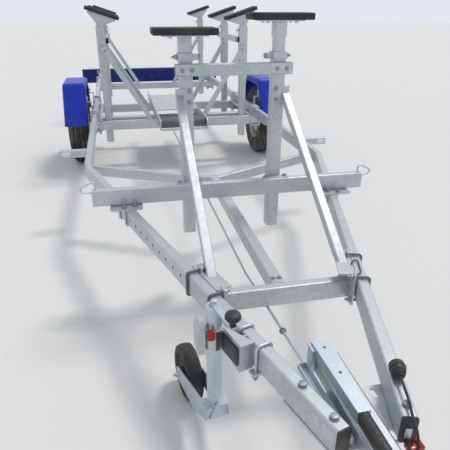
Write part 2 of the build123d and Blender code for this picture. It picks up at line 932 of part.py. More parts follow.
saddle = build_saddle()
rear_pad = Pos(0, 0, saddle_pivot_height) * pad_block()
for row, station, foot in rear_rows:
    for name, side in (("right", -1), ("left", 1)):
        x = row_x(station)
        y = side * rear_post_half_spacing
        place = Pos(x, y, pivot_height) * Rot(side * rear_pad_tilt, 0, 0)
        save(f"rear_insert_{row}_{name}", build_rear_insert(x, y))
        save(f"rear_saddle_{row}_{name}", place * saddle)
        save(f"rear_pad_{row}_{name}", place * rear_pad)

# Keel plank on its bearers, and the keel roller ahead of it
bearer_inner = plank_half_width - bearer_thick
bearer_top = plank_top + bearer_lip
roller_middle = cross_beam_top + roller_diameter / 2
roller_x = at(roller_station)


def build_keel_plank():
    plank = block(
        at(plank_rear), at(plank_front), -bearer_inner, bearer_inner, plank_top - plank_sheet, plank_top
    )
    bearer = block(
        at(bearer_rear), at(bearer_front), bearer_inner, plank_half_width, cross_beam_top, bearer_top
    )
    bearer -= rod(
        (roller_x, 0, roller_middle), (roller_x, beyond, roller_middle), roller_pin_diameter + 2 * pivot_gap
    )
    front_edges = bearer.edges().filter_by(Axis.Y).group_by(Axis.X)[-1]
    bearer = fillet(front_edges.sort_by(Axis.Z)[-1:], bearer_round)
    bar = block(
        at(bearer_front) - end_bar_long, at(bearer_front), -bearer_inner, bearer_inner,
        cross_beam_top, cross_beam_top + end_bar_tall,
    )
    return plank + bearer + mirrored(bearer) + bar


save("keel_plank", build_keel_plank())

roller_half = bearer_inner - roller_end_gap
roller = rod((roller_x, -roller_half, roller_middle), (roller_x, roller_half, roller_middle), roller_diameter)
pin_half = plank_half_width + roller_pin_overhang
roller += rod((roller_x, -pin_half, roller_middle), (roller_x, pin_half, roller_middle), roller_pin_diameter)
save("keel_roller", roller)

# Light board on two arms that slide into the rails' rear ends
board_back = board_rear + rear_lamp_deep
board_front = board_back + board_thick
board = block(
    at(board_back), at(board_front), -board_half_length, board_half_length, board_top - board_tall, board_top
)
board = fillet(board.edges().filter_by(Axis.X), board_round)
save("light_board", board)
lamp_outer = board_half_length - rear_lamp_inset
lamp_middle = board_top - board_tall / 2
left_rear_lamp = block(
    at(board_rear), at(board_back), lamp_outer - rear_lamp_long, lamp_outer,
    lamp_middle - rear_lamp_tall / 2, lamp_middle + rear_lamp_tall / 2,
)
left_rear_lamp = chamfer(left_rear_lamp.edges().filter_by(Axis.X), rear_lamp_edge)
save("rear_lamps", left_rear_lamp, mirrored(left_rear_lamp))
left_board_arm = member(
    (at(board_front), rail_half_spacing, rail_middle),
    (at(rail_rear + board_arm_in_rail), rail_half_spacing, rail_middle),
    board_arm_wide, board_arm_tall, board_arm_wall, (0, 1, 0), brace_corner,
)
save("light_board_arms", left_board_arm, mirrored(left_board_arm))

# Overrun coupling: mounting plate and housing, draw tube, bellows and head


def build_housing():
    """Plate under both arms, and the housing on it that guides the draw tube."""
    rear_half = arm_half_spacing(mount_plate_rear) + arm_inner_offset
    front_half = arm_half_spacing(mount_plate_front) + arm_inner_offset
    outline = make_face(Polyline(
        (at(mount_plate_rear), -rear_half), (at(mount_plate_front), -front_half),
        (at(mount_plate_front), front_half), (at(mount_plate_rear), rear_half), close=True,
    ))
    plate = extrude(Pos(0, 0, rail_bottom - mount_plate_thick) * outline, mount_plate_thick)
    slots = (
        # station, distance inward of the arm's centre line
        (mount_plate_rear + rear_slot_ahead, rear_slot_inward),
        (mount_plate_front - front_slot_behind, front_slot_inward),
    )
    for side in (-1, 1):
        for station, inward in slots:
            y = side * (arm_half_spacing(station) - inward)
            plate -= Pos(at(station), y, rail_bottom - mount_plate_thick / 2) * (
                extrude(SlotOverall(plate_slot_long, plate_bolt_hole), mount_plate_thick, both=True)
            )
    body = block(
        at(housing_rear), at(housing_front), -housing_half_width, housing_half_width,
        rail_bottom, housing_top,
    )
    body = chamfer(body.edges().filter_by(Axis.X).sort_by(Axis.Z)[2:], housing_slope)
    ear = block(
        at(housing_rear), at(housing_rear) + pivot_ear_long, lever_side - pivot_ear_half,
        lever_side + pivot_ear_half, rail_bottom, lever_top - lever_sheet - slide_gap,
    )
    bore = rod(
        (at(housing_front - draw_bore_deep), 0, draw_axis_height), (at(housing_front), 0, draw_axis_height),
        draw_tube_diameter + 2 * slide_gap,
    )
    return plate + body + ear - bore


save("overrun_housing", build_housing())

draw_tube = rod(
    (at(housing_front - draw_bore_deep + draw_end_gap), 0, draw_axis_height),
    (at(head_rear), 0, draw_axis_height), draw_tube_diameter,
)


def build_head():
    """Pressed head with a ball socket open below."""
    ball_x = at(ball_station)
    foot = draw_axis_height - head_below_axis
    top = draw_axis_height + head_above_axis
    body = block(at(head_rear), ball_x, -head_half_width, head_half_width, foot, top)
    nose = rod((ball_x, 0, foot), (ball_x, 0, top), 2 * (coupling_tip - ball_station))
    socket_diameter = ball_diameter + 2 * ball_clearance
    socket = Pos(ball_x, 0, ball_height) * Sphere(socket_diameter / 2)
    throat = rod((ball_x, 0, 0), (ball_x, 0, ball_height), socket_diameter)
    latch = block(
        at(head_rear) + latch_inset, ball_x + latch_inset, -latch_half_width, latch_half_width,
        top, top + latch_tall,
    )
    return body + nose - socket - throat + latch


save("coupling_head", draw_tube + build_head())

bellows = pipe(
    (at(housing_front), 0, draw_axis_height), (at(head_rear), 0, draw_axis_height),
    bellows_diameter, (bellows_diameter - draw_tube_diameter) / 2 - slide_gap,
)
save("draw_bellows", bellows)

# Hand brake lever with its grip, and the brake rod
lever_bottom = lever_top - lever_tall
lever_outer_side = lever_side - lever_wide_rear / 2


def lever_block(inset, rear, front, low, high):
    """The lever's tapered outline, drawn in by inset, from low to high."""
    outline = make_face(Polyline(
        (rear, lever_outer_side + inset), (front, lever_side - lever_wide_front / 2 + inset),
        (front, lever_side + lever_wide_front / 2 - inset), (rear, lever_side + lever_wide_rear / 2 - inset),
        close=True,
    ))
    return extrude(Pos(0, 0, low) * outline, high - low)


def build_lever():
    """Folded channel that narrows to the grip, its arm down to the brake rod, and its pivot pin."""
    rear = at(lever_rear)
    front = at(lever_grip_start)
    channel = lever_block(0, rear, front, lever_bottom, lever_top)
    channel -= lever_block(lever_sheet, rear, front - lever_sheet, lever_bottom, lever_top - lever_sheet)
    for place in lever_hole_places:
        channel -= rod(
            (rear + place, lever_side, lever_bottom), (rear + place, lever_side, lever_top), lever_hole
        )
    arm = block(
        rear, rear + lever_arm_wide, lever_outer_side - lever_arm_thick, lever_outer_side + lever_sheet / 2,
        rod_front_height - lever_arm_below, lever_top - 2 * lever_sheet,
    )
    pivot_x = at(housing_rear) + pivot_ear_long / 2
    pivot_z = lever_bottom + lever_tall / 2
    ear_sides = (
        # side, face of the ear
        (-1, lever_side - pivot_ear_half),
        (1, lever_side + pivot_ear_half),
    )
    lever = channel + arm
    for side, ear_face in ear_sides:
        outer = lever_side + side * (lever_wide_rear / 2 + lever_sheet)
        lever += rod((pivot_x, ear_face, pivot_z), (pivot_x, outer, pivot_z), lever_pin_diameter)
    return lever


save("handbrake_lever", build_lever())
grip = rod(
    (at(lever_grip_start), lever_side, lever_top - grip_diameter / 2),
    (at(lever_grip_end), lever_side, lever_top - grip_diameter / 2), grip_diameter,
)
save("handbrake_grip", grip)
rod_path = FilletPolyline(
    (rod_plate_x + rod_plate_thick, rod_side, rod_height), (at(rod_bend_station), rod_side, rod_height),
    (at(lever_rear), rod_side, rod_front_height), radius=rod_bend_radius,
)
rod_section = Plane(origin=rod_path @ 0, z_dir=rod_path % 0) * Circle(rod_diameter / 2)
save("brake_rod", sweep(rod_section, path=rod_path))

# Jockey wheel, clamped to the outer side of the right arm
arm_outer_face = arm_half_spacing(jockey_station) + arm_inner_offset
jockey_x = at(jockey_station)
jockey_y = -(arm_outer_face + jockey_offset)


def build_jockey_clamp():
    """Ring round the jockey wheel's tube with a hood, and a web to a channel on the arm's outer face."""
    ring = pipe(
        (jockey_x, jockey_y, clamp_foot), (jockey_x, jockey_y, clamp_head),
        jockey_tube_diameter + 2 * (clamp_gap + clamp_wall), clamp_wall,
    )
    channel_top = clamp_head + channel_rise
    channel_foot = clamp_foot - channel_drop
    channel = block(channel_rear, channel_front, -channel_out, 0, channel_foot, channel_top)
    channel -= block(
        channel_rear + clamp_wall, channel_front - clamp_wall, clamp_wall - channel_out, 0, 0, beyond
    )
    web = block(0, channel_rear, -channel_out, clamp_wall - channel_out, clamp_foot, clamp_head)
    bore = rod(
        (jockey_x, jockey_y, 0), (jockey_x, jockey_y, beyond), jockey_tube_diameter + 2 * clamp_gap
    )
    gusset_outline = make_face(Polyline(
        (gusset_rear, clamp_wall - channel_out), (channel_front + gusset_overhang, 0),
        (channel_front + gusset_overhang, -channel_out), (gusset_rear, -channel_out), close=True,
    ))
    gusset = extrude(Pos(0, 0, channel_top) * gusset_outline, clamp_wall)
    bracket = Pos(jockey_x, -arm_outer_face, 0) * (Rot(0, 0, arm_angle) * (channel + web + gusset))
    hood_inner = jockey_y - jockey_tube_diameter / 2 - clamp_wall
    hood = block(
        jockey_x - hood_behind, jockey_x + hood_ahead, hood_inner - hood_out, hood_inner,
        channel_foot, clamp_head + channel_drop,
    )
    outer_edges = hood.edges().filter_by(Axis.X).group_by(Axis.Y)[0]
    hood = chamfer(outer_edges.sort_by(Axis.Z)[-1:], hood_out / 2)
    return ring + (bracket - bore) + hood


def build_jockey_tube():
    tube = pipe(
        (jockey_x, jockey_y, jockey_tube_foot), (jockey_x, jockey_y, jockey_tube_head),
        jockey_tube_diameter, jockey_tube_wall,
    )
    cap_head = jockey_tube_head + jockey_cap_tall
    cap = rod((jockey_x, jockey_y, jockey_tube_head), (jockey_x, jockey_y, cap_head), jockey_cap_diameter)
    cap = chamfer(cap.edges().sort_by(Axis.Z)[-1:], jockey_cap_tall / 2)
    crank = Pos(jockey_x, jockey_y, 0) * (Rot(0, 0, crank_swing) * block(
        0, crank_reach + crank_wide / 2, -crank_wide / 2, crank_wide / 2, cap_head, cap_head + crank_thick
    ))
    return tube + cap + crank


save("jockey_tube", build_jockey_tube())
knob_x = jockey_x + crank_reach * cos(radians(crank_swing))
knob_y = jockey_y + crank_reach * sin(radians(crank_swing))
knob_foot = jockey_tube_head + jockey_cap_tall + crank_thick
knob_neck_top = knob_foot + knob_neck_tall
knob_neck = rod((knob_x, knob_y, knob_foot), (knob_x, knob_y, knob_neck_top), knob_neck_diameter)
knob_head = rod((knob_x, knob_y, knob_neck_top), (knob_x, knob_y, knob_foot + knob_tall), knob_diameter)
save("jockey_knob", knob_neck + chamfer(knob_head.edges().filter_by(GeomType.CIRCLE), knob_edge))

jockey_leg = pipe(
    (jockey_x, jockey_y, fork_top + swivel_gap), (jockey_x, jockey_y, jockey_leg_head),
    jockey_leg_diameter, jockey_leg_wall,
)
save("jockey_leg", jockey_leg)

# Fork and wheel, built with the trail along +X and swung round the leg's axis
jockey_radius = jockey_wheel_diameter / 2
fork_swing = Pos(jockey_x, jockey_y, 0) * Rot(0, 0, jockey_swing)


def build_fork():
    """Two curved cheeks from the leg's foot to the wheel's axle, with a fin behind the foot."""
    inner = jockey_wheel_width / 2 + fork_gap
    outer = inner + fork_sheet
    foot = fork_top - collar_tall
    collar = rod((0, 0, foot), (0, 0, fork_top), jockey_leg_diameter)
    crown = block(-crown_half, crown_half, -outer, outer, foot, fork_top - crown_drop)
    boss = Pos(jockey_trail, jockey_radius) * Circle(boss_radius)
    root = Pos(crown_half - root_long / 2, foot + root_tall / 2) * Rectangle(root_long, root_tall)
    belly = Pos(belly_ahead, foot - belly_drop) * Circle(belly_radius)
    cheek = make_hull(boss.edges() + root.edges() + belly.edges())
    near = extrude(Plane(origin=(0, -inner, 0), x_dir=(1, 0, 0), z_dir=(0, -1, 0)) * cheek, fork_sheet)
    far = Pos(0, inner + outer, 0) * near
    axle_half = outer + jockey_axle_overhang
    axle_bolt = rod(
        (jockey_trail, -axle_half, jockey_radius), (jockey_trail, axle_half, jockey_radius),
        jockey_axle_diameter,
    )
    swivel_pin = rod((0, 0, fork_top), (0, 0, fork_top + swivel_pin_tall), swivel_pin_diameter)
    fin_outline = make_face(
        Polyline((-fin_half, foot), (fin_half, foot), (0, fork_top + fin_rise), close=True)
    )
    fin_plane = Plane(origin=(-crown_half - fork_sheet, 0, 0), x_dir=(0, 1, 0), z_dir=(1, 0, 0))
    fin = extrude(fin_plane * fin_outline, fork_sheet)
    return collar + crown + near + far + axle_bolt + swivel_pin + fin


save("jockey_fork", fork_swing * build_fork())


def build_jockey_wheel():
    near = (jockey_trail, -jockey_wheel_width / 2, jockey_radius)
    far = (jockey_trail, jockey_wheel_width / 2, jockey_radius)
    wheel = rod(near, far, jockey_wheel_diameter)
    wheel = chamfer(wheel.edges().filter_by(GeomType.CIRCLE), jockey_wheel_edge)
    return wheel - rod(near, far, jockey_axle_diameter + 2 * pivot_gap)


save("jockey_wheel", fork_swing * build_jockey_wheel())

# Plug parked on the left arm, and its lead
plug_y = arm_half_spacing(plug_station)
plug_x = at(plug_station)
plug_axis = rail_top + plug_diameter / 2
plug_middle = Vector(plug_x, plug_y, plug_axis)
plug_front = plug_middle + arm_heading * (plug_length / 2)
plug_back = plug_middle - arm_heading * (plug_length / 2)
save("lead_plug", rod(plug_back, plug_front, plug_diameter))

# Route of the lead: ahead of the plug's end along the arm, to the arm's left, and height
plug_to_gland = (arm_end_station - plug_station) / arm_heading.X - plug_length / 2 + gland_reach
lead_route = (
    (0, 0, plug_axis), (38, 0, plug_axis), (78, 2, 544), (118, -1, 538), (plug_to_gland + 33, 0, 536),
    (plug_to_gland + 56, 0, 512), (plug_to_gland + 56, 0, 479), (plug_to_gland + 33, 0, lead_gland_height),
    (plug_to_gland, 0, lead_gland_height),
)
arm_left = Vector(-arm_heading.Y, arm_heading.X, 0)
lead_points = [
    Vector(plug_front.X, plug_front.Y, 0) + arm_heading * ahead + arm_left * left + Vector(0, 0, height)
    for ahead, left, height in lead_route
]


def lead_radii(points):
    """The widest arc that the runs beside each corner allow."""
    radii = []
    for before, corner, after in zip(points, points[1:], points[2:]):
        turn = radians((corner - before).get_angle(after - corner))
        radii.append(0.45 * min((corner - before).length, (after - corner).length) / tan(turn / 2))
    return radii


radii = lead_radii(lead_points)
lead_path = FilletPolyline(*lead_points, radius=radii)
lead_section = Plane(origin=lead_path @ 0, z_dir=lead_path % 0) * Circle(lead_diameter / 2)
lead = sweep(lead_section, path=lead_path)
save("trailer_lead", lead)
lead_share = lead.volume / (lead_path.length * pi * lead_diameter ** 2 / 4)
print("lead radii", [round(radius, 1) for radius in radii], "length", round(lead_path.length, 1))
print("lead volume over section times length", round(lead_share, 4))

# Base plates under the front beam, and tie-down loops at its ends


def build_left_loop():
    """Round bar bent round the beam's end."""
    behind = at(-tube_wide) - loop_rod / 2
    ahead = at(0) + loop_rod / 2
    inner = front_beam_half_length - loop_reach
    outer = front_beam_half_length + loop_reach
    height = front_beam_top - loop_below_top
    route = FilletPolyline(
        (behind, inner, height), (behind, outer, height), (ahead, outer, height), (ahead, inner, height),
        radius=loop_bend,
    )
    section = Plane(origin=route @ 0, z_dir=route % 0)
    return sweep(section * Circle(loop_rod / 2), path=route)


def build_left_base_plate():
    middle = at(base_plate_ahead - tube_wide / 2)
    plate = Pos(middle, arm_half_spacing(-tube_wide / 2), rail_top + base_plate_thick / 2) * (
        Box(base_plate_length, base_plate_wide, base_plate_thick)
    )
    return fillet(plate.edges().filter_by(Axis.Z), base_plate_round)


left_clamps = [build_left_base_plate(), build_left_loop()]
save(
    "frame_clamps", build_jockey_clamp(), *left_clamps, *[mirrored(clamp) for clamp in left_clamps]
)
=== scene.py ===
import json
from math import cos, pi, radians, sin, tan

import bmesh
import bpy
from mathutils import Matrix, Vector


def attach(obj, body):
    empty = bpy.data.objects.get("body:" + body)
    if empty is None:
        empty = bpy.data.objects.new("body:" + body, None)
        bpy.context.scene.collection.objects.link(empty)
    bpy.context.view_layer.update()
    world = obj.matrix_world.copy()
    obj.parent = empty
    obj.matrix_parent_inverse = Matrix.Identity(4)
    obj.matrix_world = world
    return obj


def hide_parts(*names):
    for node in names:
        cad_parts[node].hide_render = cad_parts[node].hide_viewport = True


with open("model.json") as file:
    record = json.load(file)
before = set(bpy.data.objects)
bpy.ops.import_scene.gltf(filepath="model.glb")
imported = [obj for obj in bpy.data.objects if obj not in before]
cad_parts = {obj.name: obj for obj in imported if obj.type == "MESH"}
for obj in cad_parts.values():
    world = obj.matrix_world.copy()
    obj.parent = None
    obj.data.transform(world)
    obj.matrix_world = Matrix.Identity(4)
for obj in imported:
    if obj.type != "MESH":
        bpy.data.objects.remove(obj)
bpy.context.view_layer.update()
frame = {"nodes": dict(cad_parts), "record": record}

# Boat trailer: everything is in metres, +X towards the coupling, +Y the trailer's left side

# Camera of the photograph
CAMERA_PLACE = (4.0143, -0.5220, 1.3993)
CAMERA_YAW = 0.2166
CAMERA_PITCH = 0.4302
CAMERA_ROLL = 0.0048
CAMERA_LENS = 38.39

# Light
SKY_LIGHT = 0.60
SKY_SEEN = 0.85
SKY_COLOUR = (0.90, 0.94, 1.0, 1)
SUN_LIGHT = 1.35
SUN_COLOUR = (1.0, 0.97, 0.92)
SUN_HEADING = (0.25, -0.42, -1.0)
SUN_SPREAD = radians(14)
FLOOR_COLOUR = (0.80, 0.80, 0.79, 1)
FLOOR_REACH = 40.0

# Colours, linear
GALVANISED_PALE = (0.62, 0.65, 0.67, 1)
GALVANISED_DARK = (0.44, 0.47, 0.49, 1)
# Zinc plate's blue tint is painted reflection of the blue sky
ZINC_PALE = (0.66, 0.71, 0.77, 1)
ZINC_DARK = (0.46, 0.52, 0.59, 1)
# Darker copy of the zinc plate for the frame's nuts and bolts: painted shade
SHADED_ZINC_PALE = (0.42, 0.45, 0.49, 1)
SHADED_ZINC_DARK = (0.24, 0.26, 0.29, 1)
LABEL_PALE = (0.60, 0.61, 0.63, 1)
# Much darker copy of the zinc plate for the crossbar's U-bolts and the hook: painted shade
DEEP_SHADE_ZINC_PALE = (0.20, 0.21, 0.23, 1)
DEEP_SHADE_ZINC_DARK = (0.11, 0.12, 0.13, 1)
SILVER_PAINT = (0.60, 0.61, 0.62, 1)
BOARD_BLUE = (0.002, 0.006, 0.15, 1)
GUARD_BLUE = (0.002, 0.028, 0.44, 1)
BLACK_PLASTIC = (0.018, 0.018, 0.019, 1)
BLACK_RUBBER = (0.022, 0.022, 0.023, 1)
ROLLER_GREY = (0.10, 0.12, 0.14, 1)
DUST = (0.30, 0.27, 0.23, 1)
LENS_WHITE = (0.85, 0.85, 0.83, 1)
LENS_RED = (0.42, 0.008, 0.008, 1)

# Places and sizes on the trailer, in metres
SIDES = (("left", 1), ("right", -1))
STATION_SHIFT = 1.850
RAIL_HALF = 0.735
RAIL_TOP = 0.526
RAIL_FOOT = 0.446
TUBE_HALF = 0.020
BEND_STATION = -0.711
ARM_END_STATION = 1.443
ARM_END_HALF = 0.084
ARM_MIDDLE_HEIGHT = 0.486
ARM_TURN = radians(16.8163)
FRONT_BEAM_TOP = 0.612
PLAIN_LOOPS_BEYOND_Y = 0.620
TIE_DOWN_X = 1.830
MARKER_STATION = -1.060
WHEEL_X = -0.770
WHEEL_HALF_TRACK = 0.8975
WHEEL_RADIUS = 0.325
TYRE_HALF = 0.0925
TREAD_FOOT_RADIUS = 0.3160
TREAD_PITCHES = 72
WHEEL_BOLT_COUNT = 5
WHEEL_BOLT_CIRCLE = 0.056
WHEEL_BOLT_SEAT = 0.0295
VALVE_PLACE = (0.139, 0, 0.034)
VALVE_TURN = 0.9
POST_HALF = 0.620
REAR_POST_SETBACK = 0.070
REAR_SCREW_HEIGHT = 1.195
PIVOT_HEIGHT = 1.255
PAD_TILT = radians(18)
PAD_SIZE = (0.140, 0.285, 0.030)
PAD_ABOVE_PIVOT = 0.068
CROSS_BEAM_STATIONS = (-2.250, -3.040, -4.550)
CROSS_BEAM_FOOT = 0.366
FRONT_POST_X = 1.780
FRONT_POST_HALF = 0.217
FRONT_SCREW_HEIGHT = 1.188
FRONT_TIE_HEIGHT = 1.138
SEAT_THICK = 0.005
FRONT_SEATS = (
    # side's name, side, height of the seat's top
    ("left", 1, 1.340), ("right", -1, 1.280),
)
JOCKEY_X = 2.855
JOCKEY_Y = -0.29927
JOCKEY_TUBE_TOP = 0.608
JOCKEY_CRANK = 0.122
JOCKEY_CRANK_TURN = radians(14)
JOCKEY_TRAIL = 0.29
JOCKEY_TRAIL_TURN = radians(189)
JOCKEY_WHEEL_RADIUS = 0.110
ARM_OUTER_Y_AT_JOCKEY = -0.2373
DRAW_HEIGHT = 0.470
BOARD_REAR = -3.670
BOARD_BACK = -3.625
BOARD_FRONT = -3.600
PLUG_STATION = 1.318
PLUG_HEIGHT = 0.548
PLUG_HALF = 0.023
GLAND_HEIGHT = 0.456
LEAD_RADIUS = 0.0035

# Fasteners, in metres
PLATE_THICK = 0.008
U_BOLT_ROD = 0.005
U_BOLT_BEND = 0.012
U_BOLT_NUT_FROM_END = 0.022
WASHER_THICK = 0.0025
FLATS_OVER_CORNER = 1.732

# Shading and merging
SHARP_ANGLE = radians(34)
SAME_PLACE = 0.00002

nodes = frame["nodes"]


# Node groups that more than one material uses

def new_group(name, inputs, outputs):
    """An empty shader group with its sockets; inputs and outputs are (name, kind, default) rows."""
    group = bpy.data.node_groups.new(name, "ShaderNodeTree")
    for label, kind, default in inputs:
        socket = group.interface.new_socket(label, in_out="INPUT", socket_type=kind)
        socket.default_value = default
    for label, kind in outputs:
        group.interface.new_socket(label, in_out="OUTPUT", socket_type=kind)
    return group, group.nodes.new("NodeGroupInput"), group.nodes.new("NodeGroupOutput")


def add_math(tree, operation, first, second):
    """A math node; each operand is a socket or a number."""
    node = tree.nodes.new("ShaderNodeMath")
    node.operation = operation
    for socket, value in zip(node.inputs, (first, second)):
        if isinstance(value, (int, float)):
            socket.default_value = value
        else:
            tree.links.new(value, socket)
    return node.outputs[0]


def add_mix(tree, share, first, second):
    """A colour mix; each operand is a socket or a colour."""
    node = tree.nodes.new("ShaderNodeMix")
    node.data_type = "RGBA"
    targets = (node.inputs[0], node.inputs[6], node.inputs[7])
    for socket, value in zip(targets, (share, first, second)):
        if isinstance(value, bpy.types.NodeSocket):
            tree.links.new(value, socket)
        else:
            socket.default_value = value
    return node.outputs[2]


def add_noise(tree, vector, scale, detail=3.0):
    """A noise texture; its scale is a socket or a number."""
    node = tree.nodes.new("ShaderNodeTexNoise")
    node.inputs["Detail"].default_value = detail
    tree.links.new(vector, node.inputs["Vector"])
    if isinstance(scale, bpy.types.NodeSocket):
        tree.links.new(scale, node.inputs["Scale"])
    else:
        node.inputs["Scale"].default_value = scale
    return node.outputs["Fac"]


def add_range(tree, value, low, high, to_low=0.0, to_high=1.0):
    """value's span from low to high, spread over to_low to to_high."""
    node = tree.nodes.new("ShaderNodeMapRange")
    tree.links.new(value, node.inputs["Value"])
    labels = ("From Min", "From Max", "To Min", "To Max")
    for label, number in zip(labels, (low, high, to_low, to_high)):
        node.inputs[label].default_value = number
    return node.outputs["Result"]


def object_place(tree):
    return tree.nodes.new("ShaderNodeTexCoord").outputs["Object"]


def make_spangle_group():
    """Crystals of a zinc coat: a shade for its colour and roughness, and a height for its grain."""
    group, start, end = new_group(
        "zinc_spangle",
        (("Crystals", "NodeSocketFloat", 90.0), ("Patches", "NodeSocketFloat", 4.0)),
        (("Shade", "NodeSocketFloat"), ("Height", "NodeSocketFloat")),
    )
    place = object_place(group)
    cells = group.nodes.new("ShaderNodeTexVoronoi")
    group.links.new(place, cells.inputs["Vector"])
    group.links.new(start.outputs["Crystals"], cells.inputs["Scale"])
    split = group.nodes.new("ShaderNodeSeparateColor")
    group.links.new(cells.outputs["Color"], split.inputs[0])
    patches = add_noise(group, place, start.outputs["Patches"], 5.0)
    fine = add_noise(group, place, 260.0, 2.0)
    crystal = add_math(group, "MULTIPLY", split.outputs[0], 0.35)
    patch = add_range(group, patches, 0.35, 0.68, 0.0, 0.45)
    grain = add_math(group, "MULTIPLY", fine, 0.20)
    shade = add_math(group, "ADD", add_math(group, "ADD", crystal, patch), grain)
    group.links.new(shade, end.inputs["Shade"])
    group.links.new(fine, end.inputs["Height"])
    return group


def make_dust_group():
    """Road dust: more of it low down and in blotches."""
    group, start, end = new_group(
        "road_dust",
        (("Amount", "NodeSocketFloat", 0.3), ("Top", "NodeSocketFloat", 0.6)),
        (("Mask", "NodeSocketFloat"),),
    )
    place = object_place(group)
    split = group.nodes.new("ShaderNodeSeparateXYZ")
    group.links.new(place, split.inputs[0])
    blotches = add_range(group, add_noise(group, place, 9.0, 5.0), 0.42, 0.70)
    ratio = add_math(group, "DIVIDE", split.outputs["Z"], start.outputs["Top"])
    low = add_math(group, "SUBTRACT", 1.2, ratio)
    share = add_math(group, "MULTIPLY", blotches, low)
    amount = add_math(group, "MULTIPLY", share, start.outputs["Amount"])
    clamp = group.nodes.new("ShaderNodeClamp")
    group.links.new(amount, clamp.inputs["Value"])
    group.links.new(clamp.outputs[0], end.inputs["Mask"])
    return group


SPANGLE = make_spangle_group()
DUSTING = make_dust_group()


def new_material(name, metallic, roughness):
    """A material with its Principled shader; the caller links what changes over the surface."""
    material = bpy.data.materials.new(name)
    material.use_nodes = True
    shader = material.node_tree.nodes["Principled BSDF"]
    shader.inputs["Metallic"].default_value = metallic
    shader.inputs["Roughness"].default_value = roughness
    return material, material.node_tree, shader


def place_group(tree, group, **values):
    node = tree.nodes.new("ShaderNodeGroup")
    node.node_tree = group
    for label, value in values.items():
        node.inputs[label].default_value = value
    return node


def add_bump(tree, shader, height, strength, depth):
    bump = tree.nodes.new("ShaderNodeBump")
    bump.inputs["Strength"].default_value = strength
    bump.inputs["Distance"].default_value = depth
    tree.links.new(height, bump.inputs["Height"])
    tree.links.new(bump.outputs["Normal"], shader.inputs["Normal"])


def make_zinc_material(
    name, pale, dark, crystals, patches, metallic, roughness_low, roughness_high
):
    """Zinc-coated steel: crystals, dull patches and a little road dust."""
    material, tree, shader = new_material(name, metallic, roughness_low)
    coat = place_group(tree, SPANGLE, Crystals=crystals, Patches=patches)
    dust = place_group(tree, DUSTING, Amount=0.22, Top=0.6)
    metal = add_mix(tree, coat.outputs["Shade"], pale, dark)
    dusty = add_mix(tree, dust.outputs["Mask"], metal, DUST)
    tree.links.new(dusty, shader.inputs["Base Color"])
    rough = add_range(tree, coat.outputs["Shade"], 0.0, 1.0, roughness_low, roughness_high)
    tree.links.new(rough, shader.inputs["Roughness"])
    add_bump(tree, shader, coat.outputs["Height"], 0.12, 0.001)
    return material


def make_moulded_material(
    name, colour, worn, roughness, dust_amount, grain_scale, grain_depth, gloss=0.5
):
    """Moulded plastic, rubber or paint: fine grain, faded patches and dust."""
    material, tree, shader = new_material(name, 0.0, roughness)
    shader.inputs["Specular IOR Level"].default_value = gloss
    dust = place_group(tree, DUSTING, Amount=dust_amount, Top=0.8)
    place = object_place(tree)
    faded = add_range(tree, add_noise(tree, place, 6.0, 4.0), 0.4, 0.7)
    base = add_mix(tree, faded, colour, worn)
    tree.links.new(add_mix(tree, dust.outputs["Mask"], base, DUST), shader.inputs["Base Color"])
    uneven = add_noise(tree, place, 40.0)
    rough = add_range(tree, uneven, 0.3, 0.7, roughness - 0.05, roughness + 0.1)
    tree.links.new(rough, shader.inputs["Roughness"])
    add_bump(tree, shader, add_noise(tree, place, grain_scale), 0.3, grain_depth)
    return material


